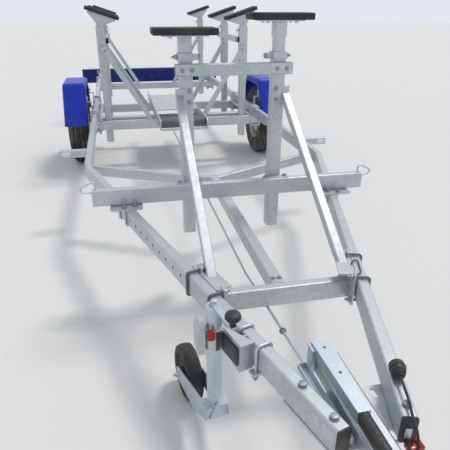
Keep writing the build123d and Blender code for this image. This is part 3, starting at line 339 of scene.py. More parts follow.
ZINC_FINISHES = {
    # slot: name, pale, dark, crystals, patches, metallic, roughness from, roughness to
    "galvanised": (
        "galvanised_steel", GALVANISED_PALE, GALVANISED_DARK, 90.0, 3.0, 0.75, 0.36, 0.60
    ),
    # Zinc plate's blue tint: painted reflection of the blue sky
    "zinc_plated": ("zinc_plate", ZINC_PALE, ZINC_DARK, 220.0, 8.0, 0.85, 0.38, 0.52),
    # Much darker copy of the zinc plate for the crossbar's U-bolts and the hook: painted shade
    "deep_shade_zinc": ("deep_shade_zinc", DEEP_SHADE_ZINC_PALE, DEEP_SHADE_ZINC_DARK, 220.0, 8.0, 0.6, 0.42, 0.60),
    # Darker copy of the zinc plate for the frame's nuts and bolts: painted shade
    "shaded_zinc": (
        "shaded_zinc", SHADED_ZINC_PALE, SHADED_ZINC_DARK, 220.0, 8.0, 0.8, 0.42, 0.58
    ),
}
MOULDED_FINISHES = {
    # slot: name, colour, worn colour, roughness, dust, grain scale, grain depth, gloss
    "label": ("blank_label", LABEL_PALE, (0.52, 0.53, 0.55, 1), 0.5, 0.2, 300.0, 0.0001),
    "silver_paint": (
        "silver_wheel_paint", SILVER_PAINT, (0.50, 0.51, 0.52, 1), 0.4, 0.25, 300.0, 0.0002
    ),
    "blue_paint": (
        "board_blue_paint", BOARD_BLUE, (0.004, 0.012, 0.18, 1), 0.35, 0.12, 200.0, 0.0002, 0.3
    ),
    "blue_plastic": (
        "guard_blue_plastic", GUARD_BLUE, (0.004, 0.040, 0.50, 1), 0.32, 0.10, 500.0, 0.0002, 0.3
    ),
    "black_plastic": (
        "black_moulding", BLACK_PLASTIC, (0.035, 0.035, 0.035, 1), 0.45, 0.2, 600.0, 0.0002
    ),
    "white_reflector": ("white_lens", LENS_WHITE, (0.78, 0.78, 0.76, 1), 0.15, 0.1, 400.0, 0.0002),
    "red_lens": ("red_lens", LENS_RED, (0.34, 0.012, 0.012, 1), 0.14, 0.1, 400.0, 0.0002),
    "black_rubber": (
        "black_rubber", BLACK_RUBBER, (0.045, 0.044, 0.042, 1), 0.7, 0.25, 250.0, 0.0005
    ),
    "grey_rubber": ("roller_rubber", ROLLER_GREY, (0.14, 0.16, 0.17, 1), 0.6, 0.2, 250.0, 0.0004),
    "road_tyre": ("tyre_rubber", BLACK_RUBBER, (0.05, 0.048, 0.045, 1), 0.75, 0.5, 220.0, 0.0005),
}
MATERIALS = {slot: make_zinc_material(*row) for slot, row in ZINC_FINISHES.items()}
for finish, row in MOULDED_FINISHES.items():
    MATERIALS[finish] = make_moulded_material(*row)


def dress_frame():
    """Every CAD node gets its slot's material."""
    for part in frame["record"]["subparts"]:
        node = nodes[part["node"]]
        node.data.materials.clear()
        node.data.materials.append(MATERIALS[part["material_slot"]])


# Places on the trailer

def at(station):
    """X of a station ahead of the front beam's front face."""
    return station + STATION_SHIFT


def arm_half(station):
    """Half the distance between the drawbar arms' middles."""
    share = (station - BEND_STATION) / (ARM_END_STATION - BEND_STATION)
    return RAIL_HALF + share * (ARM_END_HALF - RAIL_HALF)


def arm_heading(side):
    return Vector((cos(ARM_TURN), -side * sin(ARM_TURN), 0))


def arm_outward(side):
    return Vector((sin(ARM_TURN), side * cos(ARM_TURN), 0))


def arm_point(station, side, height):
    return Vector((at(station), side * arm_half(station), height))


def rear_post_x(station):
    """X of the rear post's middle, behind its cross beam."""
    return at(station) - REAR_POST_SETBACK


def placed(place, direction):
    """Matrix that puts a shape's Z axis along direction at place."""
    turn = Vector(direction).to_track_quat("Z", "Y").to_matrix().to_4x4()
    return Matrix.Translation(place) @ turn


# Shapes

def soften(shape):
    """Smooth faces, with sharp edges kept sharp."""
    for face in shape.faces:
        face.smooth = True
    for edge in shape.edges:
        edge.smooth = edge.calc_face_angle(0.0) < SHARP_ANGLE


def add_to_body(data, name, body, slot, finish=None):
    """An object from a mesh or curve, riding on its body, in its slot's finish or a given one."""
    data.materials.append(MATERIALS[finish or slot])
    piece = bpy.data.objects.new(name, data)
    bpy.context.collection.objects.link(piece)
    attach(piece, body)
    return piece


def make_piece(shape, name, body, slot, finish=None):
    """A finished shape as an object that rides on its body."""
    bmesh.ops.recalc_face_normals(shape, faces=shape.faces)
    soften(shape)
    mesh = bpy.data.meshes.new(name)
    shape.to_mesh(mesh)
    shape.free()
    return add_to_body(mesh, name, body, slot, finish)


def as_pattern(shape):
    """A small shape kept as a mesh, to be stamped many times."""
    bmesh.ops.recalc_face_normals(shape, faces=shape.faces)
    mesh = bpy.data.meshes.new("pattern")
    shape.to_mesh(mesh)
    shape.free()
    return mesh


def stamp(shape, pattern, matrix):
    """Copy a pattern into the shape."""
    first = len(shape.verts)
    shape.from_mesh(pattern)
    shape.verts.ensure_lookup_table()
    bmesh.ops.transform(shape, matrix=matrix, verts=shape.verts[first:])


def spin_full_turn(shape, geometry, steps):
    bmesh.ops.spin(
        shape, geom=geometry, cent=(0, 0, 0), axis=(0, 0, 1), angle=2 * pi, steps=steps,
        use_merge=True,
    )
    bmesh.ops.remove_doubles(shape, verts=shape.verts, dist=SAME_PLACE)


def add_turned(shape, profile, matrix, steps=24):
    """A profile of (along, radius) rows turned about Z, then placed."""
    turned = bmesh.new()
    row = [turned.verts.new((radius, 0, along)) for along, radius in profile]
    edges = [turned.edges.new(pair) for pair in zip(row, row[1:])]
    spin_full_turn(turned, row + edges, steps)
    stamp(shape, as_pattern(turned), matrix)


def new_box(size, middle=(0, 0, 0)):
    """A sharp-edged box about its middle."""
    box = bmesh.new()
    bmesh.ops.create_cube(box, size=1.0)
    stretch = Matrix.Translation(middle) @ Matrix.Diagonal((*size, 1))
    bmesh.ops.transform(box, matrix=stretch, verts=box.verts)
    return box


def round_edges(shape, edges, offset, segments):
    bmesh.ops.bevel(
        shape, geom=edges, offset=offset, segments=segments, profile=0.5, affect="EDGES",
        material=-1,
    )


def add_block(shape, low, high, round_off=0.001, matrix=None):
    """A block between two corners with rounded edges."""
    size = [top - foot for foot, top in zip(low, high)]
    middle = [(top + foot) / 2 for foot, top in zip(low, high)]
    box = new_box(size, middle)
    round_edges(box, box.edges, offset=round_off, segments=2)
    stamp(shape, as_pattern(box), matrix or Matrix())


def rounded_path(corners, radius, steps=4):
    """The corners' path, each inner corner turned into an arc."""
    corners = [Vector(corner) for corner in corners]
    path = [corners[0]]
    for before, corner, after in zip(corners, corners[1:], corners[2:]):
        back = (before - corner).normalized()
        ahead = (after - corner).normalized()
        half = back.angle(ahead) / 2
        reach = radius / tan(half)
        centre = corner + (back + ahead).normalized() * (radius / sin(half))
        first = (corner + back * reach - centre).normalized()
        last = (corner + ahead * reach - centre).normalized()
        path += [centre + first.slerp(last, index / steps) * radius for index in range(steps + 1)]
    path.append(corners[-1])
    return path


def new_round_curve(name, radius, resolution):
    """An empty curve whose splines are drawn as round bars."""
    curve = bpy.data.curves.new(name, "CURVE")
    curve.dimensions = "3D"
    curve.bevel_depth = radius
    curve.bevel_resolution = resolution
    curve.use_fill_caps = True
    return curve


def add_spline(curve, kind, places):
    spline = curve.splines.new(kind)
    spline.points.add(len(places) - 1)
    for point, place in zip(spline.points, places):
        point.co = (*place, 1)
    return spline


def make_bars(name, body, slot, radius, paths, finish=None):
    """Round bars along the paths, as one curve."""
    bars = new_round_curve(name, radius, 2)
    for path in paths:
        add_spline(bars, "POLY", path)
    return add_to_body(bars, name, body, slot, finish)


def hexagon_pattern(across, thick, washer, stud_radius=0.0, stud_long=0.0):
    """A washer and a hexagon on Z, with a stud's end through it for a nut."""
    shape = bmesh.new()
    corner = across / FLATS_OVER_CORNER
    bmesh.ops.create_cone(
        shape, cap_ends=True, segments=6, radius1=corner, radius2=corner, depth=thick,
        matrix=Matrix.Translation((0, 0, WASHER_THICK + thick / 2)),
    )
    above = WASHER_THICK + 0.0001
    top = [edge for edge in shape.edges if all(vert.co.z > above for vert in edge.verts)]
    round_edges(shape, top, offset=0.08 * across, segments=2)
    rows = ((0, washer), (0.0018, washer), (WASHER_THICK, washer - 0.0007), (WASHER_THICK, 0.0))
    add_turned(shape, rows, Matrix(), steps=20)
    if stud_long:
        end = thick + WASHER_THICK + stud_long
        rows = (
            (0.001, stud_radius), (end - 0.001, stud_radius), (end, stud_radius - 0.001), (end, 0.0)
        )
        add_turned(shape, rows, Matrix(), steps=12)
    return as_pattern(shape)


FRAME_NUT = hexagon_pattern(
    across=0.018, thick=0.010, washer=0.0125, stud_radius=0.005, stud_long=0.010
)
FRAME_BOLT = hexagon_pattern(across=0.019, thick=0.008, washer=0.013)
SMALL_BOLT = hexagon_pattern(across=0.013, thick=0.0055, washer=0.010)
WHEEL_BOLT = hexagon_pattern(across=0.017, thick=0.013, washer=0.011)


def u_bolt(middle, across, down, nuts, half, depth):
    """Path of a U-bolt, its bend about middle; its two nuts' places are added to nuts."""
    across = Vector(across).normalized()
    down = Vector(down).normalized()
    middle = Vector(middle)
    corners = [middle + across * half + down * depth, middle + across * half,
               middle - across * half, middle - across * half + down * depth]
    for end in (corners[0], corners[3]):
        nuts.append((end - down * U_BOLT_NUT_FROM_END, down))
    return rounded_path(corners, U_BOLT_BEND)


def clamp_rail(side, plates, paths, nuts):
    """A rail's U-bolts and plates on the rear cross beams."""
    for station in CROSS_BEAM_STATIONS:
        for x in (at(station) + 0.012, at(station) - 0.052):
            top = (x, side * RAIL_HALF, RAIL_TOP + U_BOLT_ROD)
            paths.append(u_bolt(top, (0, 1, 0), (0, 0, -1), nuts, half=0.034, depth=0.195))
        add_block(
            plates,
            (at(station) - 0.066, side * RAIL_HALF - 0.05, CROSS_BEAM_FOOT - PLATE_THICK),
            (at(station) + 0.026, side * RAIL_HALF + 0.05, CROSS_BEAM_FOOT),
        )


def clamp_front_beam(side, plates, fasteners, paths, nuts):
    """U-bolts of the front beam's base plate, and a front post's foot on the beam."""
    for station in (0.030, -0.058):
        foot = arm_point(station, side, RAIL_FOOT - U_BOLT_ROD)
        paths.append(u_bolt(foot, arm_outward(side), (0, 0, 1), nuts, half=0.026, depth=0.113))
    strip_top = FRONT_BEAM_TOP + 0.006
    add_block(
        plates, (at(-0.040), side * FRONT_POST_HALF - 0.062, FRONT_BEAM_TOP),
        (at(-0.006), side * FRONT_POST_HALF + 0.062, strip_top),
    )
    for y in (-0.048, 0.048):
        place = (at(-0.024), side * FRONT_POST_HALF + y, strip_top)
        stamp(fasteners, FRAME_BOLT, placed(place, (0, 0, 1)))


def clamp_arm(side, plates, fasteners, arm_paths, nuts):
    """U-bolts of the crossbar's end plate on an arm, and the bolts of the coupling's plate."""
    outward = arm_outward(side)
    for station in (0.685, 0.848):
        middle = arm_point(station, side, ARM_MIDDLE_HEIGHT)
        bend = middle + outward * (TUBE_HALF + U_BOLT_ROD)
        arm_paths.append(u_bolt(bend, (0, 0, 1), -outward, nuts, half=0.047, depth=0.078))
        strip = placed(middle - outward * 0.026, -outward)
        add_block(plates, (-0.016, -0.062, 0), (0.016, 0.062, 0.005), matrix=strip)
    for station in (1.296, 1.411):
        top = arm_point(station, side, RAIL_TOP)
        stamp(fasteners, FRAME_BOLT, placed(top, (0, 0, 1)))
        foot = arm_point(station, side, RAIL_FOOT - PLATE_THICK)
        stamp(fasteners, FRAME_NUT, placed(foot, (0, 0, -1)))


def add_foot_bar(side, plates):
    """Flat bar along a rail's foot, on the two forward rear beams."""
    low, high = sorted((side * 0.672, side * 0.7065))
    add_block(plates, (at(-3.080), low, RAIL_FOOT), (at(-2.252), high, RAIL_FOOT + 0.006))


def bolt_side_brackets(side, fasteners):
    """Bolts of the axle's plates and of the mudguard's stays."""
    for station in (-2.52, -2.39, -2.02, -1.90):
        place = (at(station), side * (RAIL_HALF - TUBE_HALF - 0.008), RAIL_FOOT + 0.028)
        stamp(fasteners, FRAME_BOLT, placed(place, (0, -side, 0)))
    for station in (-2.37, -2.87):
        for height in (0.470, 0.505):
            place = (at(station), side * (RAIL_HALF + TUBE_HALF + 0.006), height)
            stamp(fasteners, SMALL_BOLT, placed(place, (0, side, 0)))
        place = (at(station), side * (WHEEL_HALF_TRACK - 0.106), 0.635)
        stamp(fasteners, SMALL_BOLT, placed(place, (0, -side, 0)))


def bolt_rear_braces(side, fasteners):
    """Bolts of the rear braces' feet and heads, and of the rear ties."""
    for station in CROSS_BEAM_STATIONS:
        x = at(station) - 0.004
        stamp(fasteners, SMALL_BOLT, placed((x, side * 0.235, RAIL_FOOT + 0.022), (1, 0, 0)))
        stamp(fasteners, SMALL_BOLT, placed((x, side * 0.598, 1.040), (1, 0, 0)))
    for station in (-2.32, -3.11):
        for height in (1.108, 1.128):
            stamp(fasteners, SMALL_BOLT, placed((at(station), side * 0.559, height), (0, -side, 0)))


def bolt_front_post(side, fasteners):
    """Bolts of the front tie and of a strut's head, and a front post's clamp screw."""
    for aside in (-0.022, 0.022):
        place = (at(0.0), side * FRONT_POST_HALF + aside, FRONT_TIE_HEIGHT)
        stamp(fasteners, SMALL_BOLT, placed(place, (1, 0, 0)))
    for height in (0.995, 1.045):
        place = (at(-0.034), side * 0.205, height)
        stamp(fasteners, SMALL_BOLT, placed(place, (1, 0, 0)))
    place = (FRONT_POST_X, side * (FRONT_POST_HALF - 0.058), FRONT_SCREW_HEIGHT)
    stamp(fasteners, FRAME_BOLT, placed(place, (0, -side, 0)))
    place = (FRONT_POST_X, side * (FRONT_POST_HALF + 0.037), FRONT_SCREW_HEIGHT)
    stamp(fasteners, FRAME_NUT, placed(place, (0, side, 0)))


def clamp_jockey_bracket(plates, paths, nuts):
    """U-bolts of the jockey wheel's bracket over the right arm, and their plates."""
    turn = Matrix.Rotation(ARM_TURN, 4, "Z")
    for station in (1.035, 1.127):
        top = arm_point(station, -1, RAIL_TOP + U_BOLT_ROD)
        paths.append(u_bolt(top, arm_outward(-1), (0, 0, -1), nuts, half=0.025, depth=0.117))
        foot = Matrix.Translation(arm_point(station, -1, RAIL_FOOT - PLATE_THICK)) @ turn
        add_block(plates, (-0.014, -0.040, 0), (0.014, 0.040, PLATE_THICK), matrix=foot)


def make_arm_labels():
    """Two blank labels on the right arm's outer face."""
    labels = bmesh.new()
    turn = Matrix.Rotation(ARM_TURN, 4, "Z")
    for station, half_long, foot, head in (
        (1.374, 0.014, 0.478, 0.512), (1.416, 0.020, 0.476, 0.515)
    ):
        place = arm_point(station, -1, 0) + arm_outward(-1) * TUBE_HALF
        face = Matrix.Translation(place) @ turn
        low, high = (-half_long, -0.0008, foot), (half_long, 0.0002, head)
        add_block(labels, low, high, round_off=0.0003, matrix=face)
    make_piece(labels, "arm_labels", "chassis", "galvanised", "label")


def make_front_seat_nuts():
    """Nuts under the front pads' seats."""
    for name, side, seat in FRONT_SEATS:
        under = bmesh.new()
        for x in (-0.040, 0.040):
            for y in (-0.066, 0.066):
                place = (FRONT_POST_X + x, side * FRONT_POST_HALF + y, seat - SEAT_THICK)
                stamp(under, SMALL_BOLT, placed(place, (0, 0, -1)))
        make_piece(under, f"front_seat_nuts_{name}", f"front_post_{name}", "zinc_plated")


def make_frame_fasteners():
    """U-bolts, their plates and nuts, and the bolts of the frame."""
    paths = []
    arm_paths = []
    nuts = []
    plates = bmesh.new()
    fasteners = bmesh.new()
    for side in (-1, 1):
        clamp_rail(side, plates, paths, nuts)
        clamp_front_beam(side, plates, fasteners, paths, nuts)
        clamp_arm(side, plates, fasteners, arm_paths, nuts)
        add_foot_bar(side, plates)
        bolt_side_brackets(side, fasteners)
        bolt_rear_braces(side, fasteners)
        bolt_front_post(side, fasteners)
    clamp_jockey_bracket(plates, paths, nuts)
    # Nut at the brake rod's joint, turned along the rod
    rod_heading = Vector((0.7126, 0, 0.086)).normalized()
    stamp(fasteners, FRAME_NUT, placed((2.775, -0.050, 0.4095), rod_heading))
    # Spine's front end on the crossbar
    for y in (-0.012, 0.012):
        stamp(fasteners, SMALL_BOLT, placed((at(0.690), y, 0.470), (0, 0, 1)))
    for place, direction in nuts:
        stamp(fasteners, FRAME_NUT, placed(place, direction))
    make_bars("frame_u_bolts", "chassis", "zinc_plated", U_BOLT_ROD, paths)
    # Crossbar's U-bolts in the much darker copy of the zinc: painted shade
    make_bars("crossbar_u_bolts", "chassis", "zinc_plated", U_BOLT_ROD, arm_paths, "deep_shade_zinc")
    make_piece(plates, "clamp_plates", "chassis", "galvanised")
    # Nuts and bolts in the darker copy of the zinc: painted shade
    make_piece(fasteners, "frame_fasteners", "chassis", "zinc_plated", "shaded_zinc")


def make_tie_downs():
    """Bent rings at the front beam's ends in place of plain loops, and a hook on the left arm."""
    clamps = bmesh.new()
    clamps.from_mesh(nodes["frame_clamps"].data)
    bmesh.ops.remove_doubles(clamps, verts=clamps.verts, dist=0.00001)
    loops = [vert for vert in clamps.verts if abs(vert.co.y) > PLAIN_LOOPS_BEYOND_Y]
    bmesh.ops.delete(clamps, geom=loops, context="VERTS")
    rims = [edge for edge in clamps.edges if edge.is_boundary]
    bmesh.ops.holes_fill(clamps, edges=rims, sides=0)
    piece = make_piece(clamps, "frame_clamps_plain", "chassis", "galvanised")
    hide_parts("frame_clamps")
    rings = []
    for side in (-1, 1):
        corners = ((0.662, 0.606), (0.662, 0.655), (0.735, 0.622), (0.722, 0.598), (0.676, 0.598))
        rings.append(rounded_path([(TIE_DOWN_X, side * y, z) for y, z in corners], 0.012))
    make_bars("tie_down_rings", "chassis", "zinc_plated", 0.004, rings)
    heading = arm_heading(1)
    outward = arm_outward(1)
    start = arm_point(0.75, 1, RAIL_TOP + 0.005)
    bends = (
        # along the arm, outward
        (0.0, -0.024), (-0.030, -0.010), (-0.022, 0.004), (0.060, 0.002), (0.090, -0.022)
    )
    hook = [start + heading * along + outward * aside for along, aside in bends]
    # Hook in the much darker copy of the zinc: painted shade
    make_bars("arm_hook", "chassis", "zinc_plated", 0.003, [rounded_path(hook, 0.006)], "deep_shade_zinc")


def make_rear_post_screws():
    """Clamp screws of the rear posts with their bent handles, and the saddles' pivot nuts."""
    screws = bmesh.new()
    handles = []
    level = REAR_SCREW_HEIGHT
    for station in CROSS_BEAM_STATIONS:
        x = rear_post_x(station)
        for side in (-1, 1):
            inner = side * (POST_HALF - 0.036)
            stamp(screws, FRAME_NUT, placed((x, inner, level), (0, -side, 0)))
            y = inner - side * 0.026
            bends = ((x - 0.022, y, level), (x + 0.022, y, level), (x + 0.026, y, level - 0.025))
            handles.append(rounded_path(bends, 0.006))
            for height in (0.900, 0.930):
                place = (x - 0.036, side * POST_HALF, height)
                stamp(screws, SMALL_BOLT, placed(place, (-1, 0, 0)))
    make_piece(screws, "rear_post_screws", "chassis", "zinc_plated")
    make_bars("rear_screw_handles", "chassis", "zinc_plated", 0.0035, handles)
    for row, station in enumerate(CROSS_BEAM_STATIONS, 1):
        x = rear_post_x(station)
        for name, side in SIDES:
            pivots = bmesh.new()
            for way in (-1, 1):
                place = (x + way * 0.0355, side * POST_HALF, PIVOT_HEIGHT)
                stamp(pivots, FRAME_NUT, placed(place, (way, 0, 0)))
            body = f"rear_post_{row}_{name}"
            make_piece(pivots, f"saddle_pivot_nuts_{row}_{name}", body, "zinc_plated")


def make_pad(node, body, matrix):
    """A rubber pad with rounded edges and a channel round the top."""
    pad = new_box(PAD_SIZE, (0, 0, PAD_SIZE[2] / 2))
    round_edges(pad, pad.edges, offset=0.006, segments=3)
    top = [face for face in pad.faces if face.normal.z > 0.99 and face.calc_area() > 0.01]
    for thick, depth in ((0.006, 0.0), (0.002, -0.0012), (0.003, 0.0), (0.002, 0.0012)):
        bmesh.ops.inset_region(pad, faces=top, thickness=thick, depth=depth)
    bmesh.ops.transform(pad, matrix=matrix, verts=pad.verts)
    piece = make_piece(pad, f"{node}_rubber", body, "black_rubber")
    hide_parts(node)


def make_pads():
    """Flat pads of the front posts, and tilted pads of the rear posts."""
    for name, side, seat in FRONT_SEATS:
        place = Matrix.Translation((FRONT_POST_X, side * FRONT_POST_HALF, seat))
        make_pad(f"front_pad_{name}", f"front_post_{name}", place)
    above = Matrix.Translation((0, 0, PAD_ABOVE_PIVOT))
    for row, station in enumerate(CROSS_BEAM_STATIONS, 1):
        for name, side in SIDES:
            pivot = Matrix.Translation((rear_post_x(station), side * POST_HALF, PIVOT_HEIGHT))
            tilt = Matrix.Rotation(side * PAD_TILT, 4, "X") @ above
            make_pad(f"rear_pad_{row}_{name}", f"rear_pad_{row}_{name}", pivot @ tilt)


def wheel_place(side):
    """Matrix of a road wheel's middle, its Z axis outward."""
    return placed((WHEEL_X, side * WHEEL_HALF_TRACK, WHEEL_RADIUS), (0, side, 0))


def make_tyre(name, side):
    """Tyre with rounded shoulders, ribs cut into blocks, and a ring on each sidewall."""
    profile = (
        # across, radius
        (0.0700, 0.1780), (0.0820, 0.1870), (0.0905, 0.2080), (TYRE_HALF, 0.2300), (0.0915, 0.2480),
        (0.0922, 0.2500), (0.0912, 0.2530), (0.0885, 0.2740), (0.0835, 0.2950), (0.0760, 0.3080),
        (0.0640, 0.3165), (0.0460, 0.3185), (0.0440, 0.3130), (0.0380, 0.3130), (0.0360, 0.3185),
        (0.0140, 0.3185), (0.0120, 0.3130), (0.0060, 0.3130), (0.0040, 0.3185),
    )
    rows = list(profile) + [(-across, radius) for across, radius in reversed(profile)]
    tyre = bmesh.new()
    ring = [tyre.verts.new((radius, 0, across)) for across, radius in rows]
    edges = [tyre.edges.new(pair) for pair in zip(ring, ring[1:] + ring[:1])]
    spin_full_turn(tyre, ring + edges, TREAD_PITCHES)
    bmesh.ops.recalc_face_normals(tyre, faces=tyre.faces)
    ribs = []
    for face in tyre.faces:
        radii = [Vector((vert.co.x, vert.co.y)).length for vert in face.verts]
        across = abs(face.calc_center_median().z)
        if min(radii) > TREAD_FOOT_RADIUS and across < TYRE_HALF - 0.02:
            ribs.append(face)
    bmesh.ops.inset_individual(tyre, faces=ribs, thickness=0.0013, depth=0.0060)
    bmesh.ops.transform(tyre, matrix=wheel_place(side), verts=tyre.verts)
    piece = make_piece(tyre, f"road_tyre_{name}_tread", f"wheel_{name}", "road_tyre")
    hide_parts(f"road_tyre_{name}")


def make_wheel_fittings(name, side):
    """Wheel bolts, dust cap and valve."""
    fittings = bmesh.new()
    wheel = wheel_place(side)
    for index in range(WHEEL_BOLT_COUNT):
        turn = Matrix.Rotation(index * 2 * pi / WHEEL_BOLT_COUNT, 4, "Z")
        place = turn @ Matrix.Translation((WHEEL_BOLT_CIRCLE, 0, WHEEL_BOLT_SEAT))
        stamp(fittings, WHEEL_BOLT, wheel @ place)
    cap = (
        (0.0300, 0.0300), (0.0330, 0.0300), (0.0340, 0.0265), (0.0560, 0.0255), (0.0620, 0.0215),
        (0.0635, 0.0120), (0.0635, 0.0),
    )
    add_turned(fittings, cap, wheel, steps=32)
    valve = ((0.0, 0.006), (0.010, 0.006), (0.013, 0.004), (0.026, 0.004), (0.028, 0.0))
    rim_place = Matrix.Rotation(VALVE_TURN, 4, "Z") @ Matrix.Translation(VALVE_PLACE)
    add_turned(fittings, valve, wheel @ rim_place, steps=10)
    make_piece(fittings, f"wheel_fittings_{name}", f"wheel_{name}", "zinc_plated")


def make_bellows():
    """Folded rubber bellows over the draw tube."""
    bellows = bmesh.new()
    rows = [(0.0, 0.022), (0.0, 0.031)]
    for fold in range(6):
        start = 0.004 + fold * 0.012
        rows += [(start, 0.032), (start + 0.003, 0.032), (start + 0.006, 0.0265),
                 (start + 0.009, 0.0265)]
    rows += [(0.077, 0.032), (0.080, 0.031), (0.080, 0.022)]
    add_turned(bellows, rows, placed((at(1.560), 0, DRAW_HEIGHT), (1, 0, 0)), steps=32)
    piece = make_piece(bellows, "draw_bellows_folds", "chassis", "black_rubber")
    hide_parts("draw_bellows")


def make_grip():
    """The hand brake's grip with its finger ribs."""
    grip = bmesh.new()
    rows = [(0.0, 0.0), (0.0, 0.0150), (0.002, 0.0165), (0.007, 0.0165), (0.009, 0.0155),
            (0.012, 0.0155)]
    for rib in range(5):
        start = 0.014 + rib * 0.018
        rows += [(start, 0.0162), (start + 0.014, 0.0162), (start + 0.0155, 0.0159),
                 (start + 0.0165, 0.0159)]
    rows += [(0.106, 0.0162), (0.109, 0.0155), (0.112, 0.0155), (0.114, 0.0165), (0.119, 0.0165),
             (0.122, 0.0150), (0.123, 0.0120), (0.123, 0.0)]
    add_turned(grip, rows, placed((at(1.412), -0.018, 0.5155), (1, 0, 0)), steps=32)
    piece = make_piece(grip, "handbrake_grip_ribs", "chassis", "black_plastic")
    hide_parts("handbrake_grip")


def make_cable_tab():
    """A tab on the left arm's end."""
    tab = bmesh.new()
    heading = arm_heading(1)
    front = arm_point(ARM_END_STATION, 1, 0.470) + heading * 0.005
    add_block(tab, (-0.008, -0.008, 0), (0.008, 0.024, 0.003), matrix=placed(front, heading))
    make_piece(tab, "cable_tab", "chassis", "zinc_plated")


def make_rod_guide():
    """Open guide of the brake rod beside the housing."""
    guide = new_box((0.275, 0.026, 0.024))
    lid = [face for face in guide.faces if face.normal.z > 0.9]
    bmesh.ops.delete(guide, geom=lid, context="FACES_ONLY")
    corners = [edge for edge in guide.edges if all(vert.co.z < 0 for vert in edge.verts)]
    round_edges(guide, corners, offset=0.005, segments=3)
    bmesh.ops.solidify(guide, geom=guide.faces, thickness=0.0022)
    turn = Vector((0.275, 0.014, 0)).to_track_quat("X", "Z").to_matrix().to_4x4()
    place = Matrix.Translation((at(1.293), -0.066, 0.460)) @ turn
    bmesh.ops.transform(guide, matrix=place, verts=guide.verts)
    make_piece(guide, "brake_rod_guide", "chassis", "zinc_plated")


def make_safety_clip():
    """Clip with a turned pin under the left arm's end."""
    clip = bmesh.new()
    add_block(clip, (3.292, 0.080, 0.430), (3.318, 0.112, 0.4455), round_off=0.004)
    rows = ((-0.016, 0.0), (-0.016, 0.0085), (0.012, 0.0085), (0.014, 0.0065), (0.014, 0.0))
    add_turned(clip, rows, placed((3.307, 0.113, 0.444), (1, 0, 0)), steps=16)
    make_piece(clip, "safety_clip", "chassis", "red_lens")


def make_jockey_top():
    """Crank's knob, and the bolt on the cap of the jockey wheel's tube."""
    crank = Vector((cos(JOCKEY_CRANK_TURN), sin(JOCKEY_CRANK_TURN), 0)) * JOCKEY_CRANK
    top = Vector((JOCKEY_X, JOCKEY_Y, JOCKEY_TUBE_TOP))
    knob = bmesh.new()
    rows = (
        (0.0, 0.0), (0.0, 0.0095), (0.010, 0.0085), (0.015, 0.0100), (0.019, 0.0190),
        (0.024, 0.0226), (0.032, 0.0228), (0.038, 0.0200), (0.0415, 0.0120), (0.042, 0.0),
    )
    add_turned(knob, rows, Matrix.Translation(top + crank), steps=32)
    piece = make_piece(knob, "jockey_knob_turned", "jockey_tube", "black_plastic")
    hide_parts("jockey_knob")
    head = bmesh.new()
    stamp(head, FRAME_BOLT, placed(top, (0, 0, 1)))
    make_piece(head, "jockey_cap_bolt", "jockey_tube", "zinc_plated")


def make_jockey_wheel():
    """Jockey wheel with its rounded tyre, and the nuts of its axle."""
    nuts = bmesh.new()
    trail = Vector((cos(JOCKEY_TRAIL_TURN), sin(JOCKEY_TRAIL_TURN), 0))
    axle = Vector((JOCKEY_X, JOCKEY_Y, JOCKEY_WHEEL_RADIUS)) + trail * JOCKEY_TRAIL
    across = Vector((-trail.y, trail.x, 0))
    for way in (-1, 1):
        stamp(nuts, FRAME_NUT, placed(axle + across * way * 0.040, across * way))
    make_piece(nuts, "jockey_wheel_nuts", "jockey_fork", "zinc_plated")
    wheel = bmesh.new()
    rows = (
        (-0.030, 0.0085), (-0.030, 0.026), (-0.022, 0.030), (-0.018, 0.070), (-0.028, 0.078),
        (-0.030, 0.094), (-0.024, 0.106), (-0.010, JOCKEY_WHEEL_RADIUS),
        (0.010, JOCKEY_WHEEL_RADIUS), (0.024, 0.106), (0.030, 0.094), (0.028, 0.078),
        (0.018, 0.070), (0.022, 0.030), (0.030, 0.026), (0.030, 0.0085), (-0.030, 0.0085),
    )
    add_turned(wheel, rows, placed(axle, across), steps=48)
    piece = make_piece(wheel, "jockey_wheel_tyre", "jockey_wheel", "black_rubber")
    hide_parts("jockey_wheel")


def make_jockey_clamp():
    """Red latch, black cover on the clamp's web, and a black strip that paints the shade in the
    slit of its ring.
    """
    tube = Matrix.Translation((JOCKEY_X, JOCKEY_Y, 0))
    turn = Matrix.Rotation(ARM_TURN, 4, "Z")
    web = Matrix.Translation((JOCKEY_X, ARM_OUTER_Y_AT_JOCKEY, 0)) @ turn
    latch = bmesh.new()
    add_block(latch, (0.028, -0.027, 0.500), (0.041, -0.003, 0.536), round_off=0.005, matrix=tube)
    make_piece(latch, "jockey_latch", "chassis", "red_lens")
    cover = bmesh.new()
    add_block(cover, (0.016, -0.053, 0.460), (0.106, -0.0465, 0.521), round_off=0.003, matrix=web)
    # Black strip standing proud in the ring's slit: painted shade of the gap
    add_block(cover, (0.0285, 0.0, 0.457), (0.0320, 0.012, 0.523), matrix=tube)
    make_piece(cover, "jockey_clamp_cover_and_slit_shade", "chassis", "black_plastic")


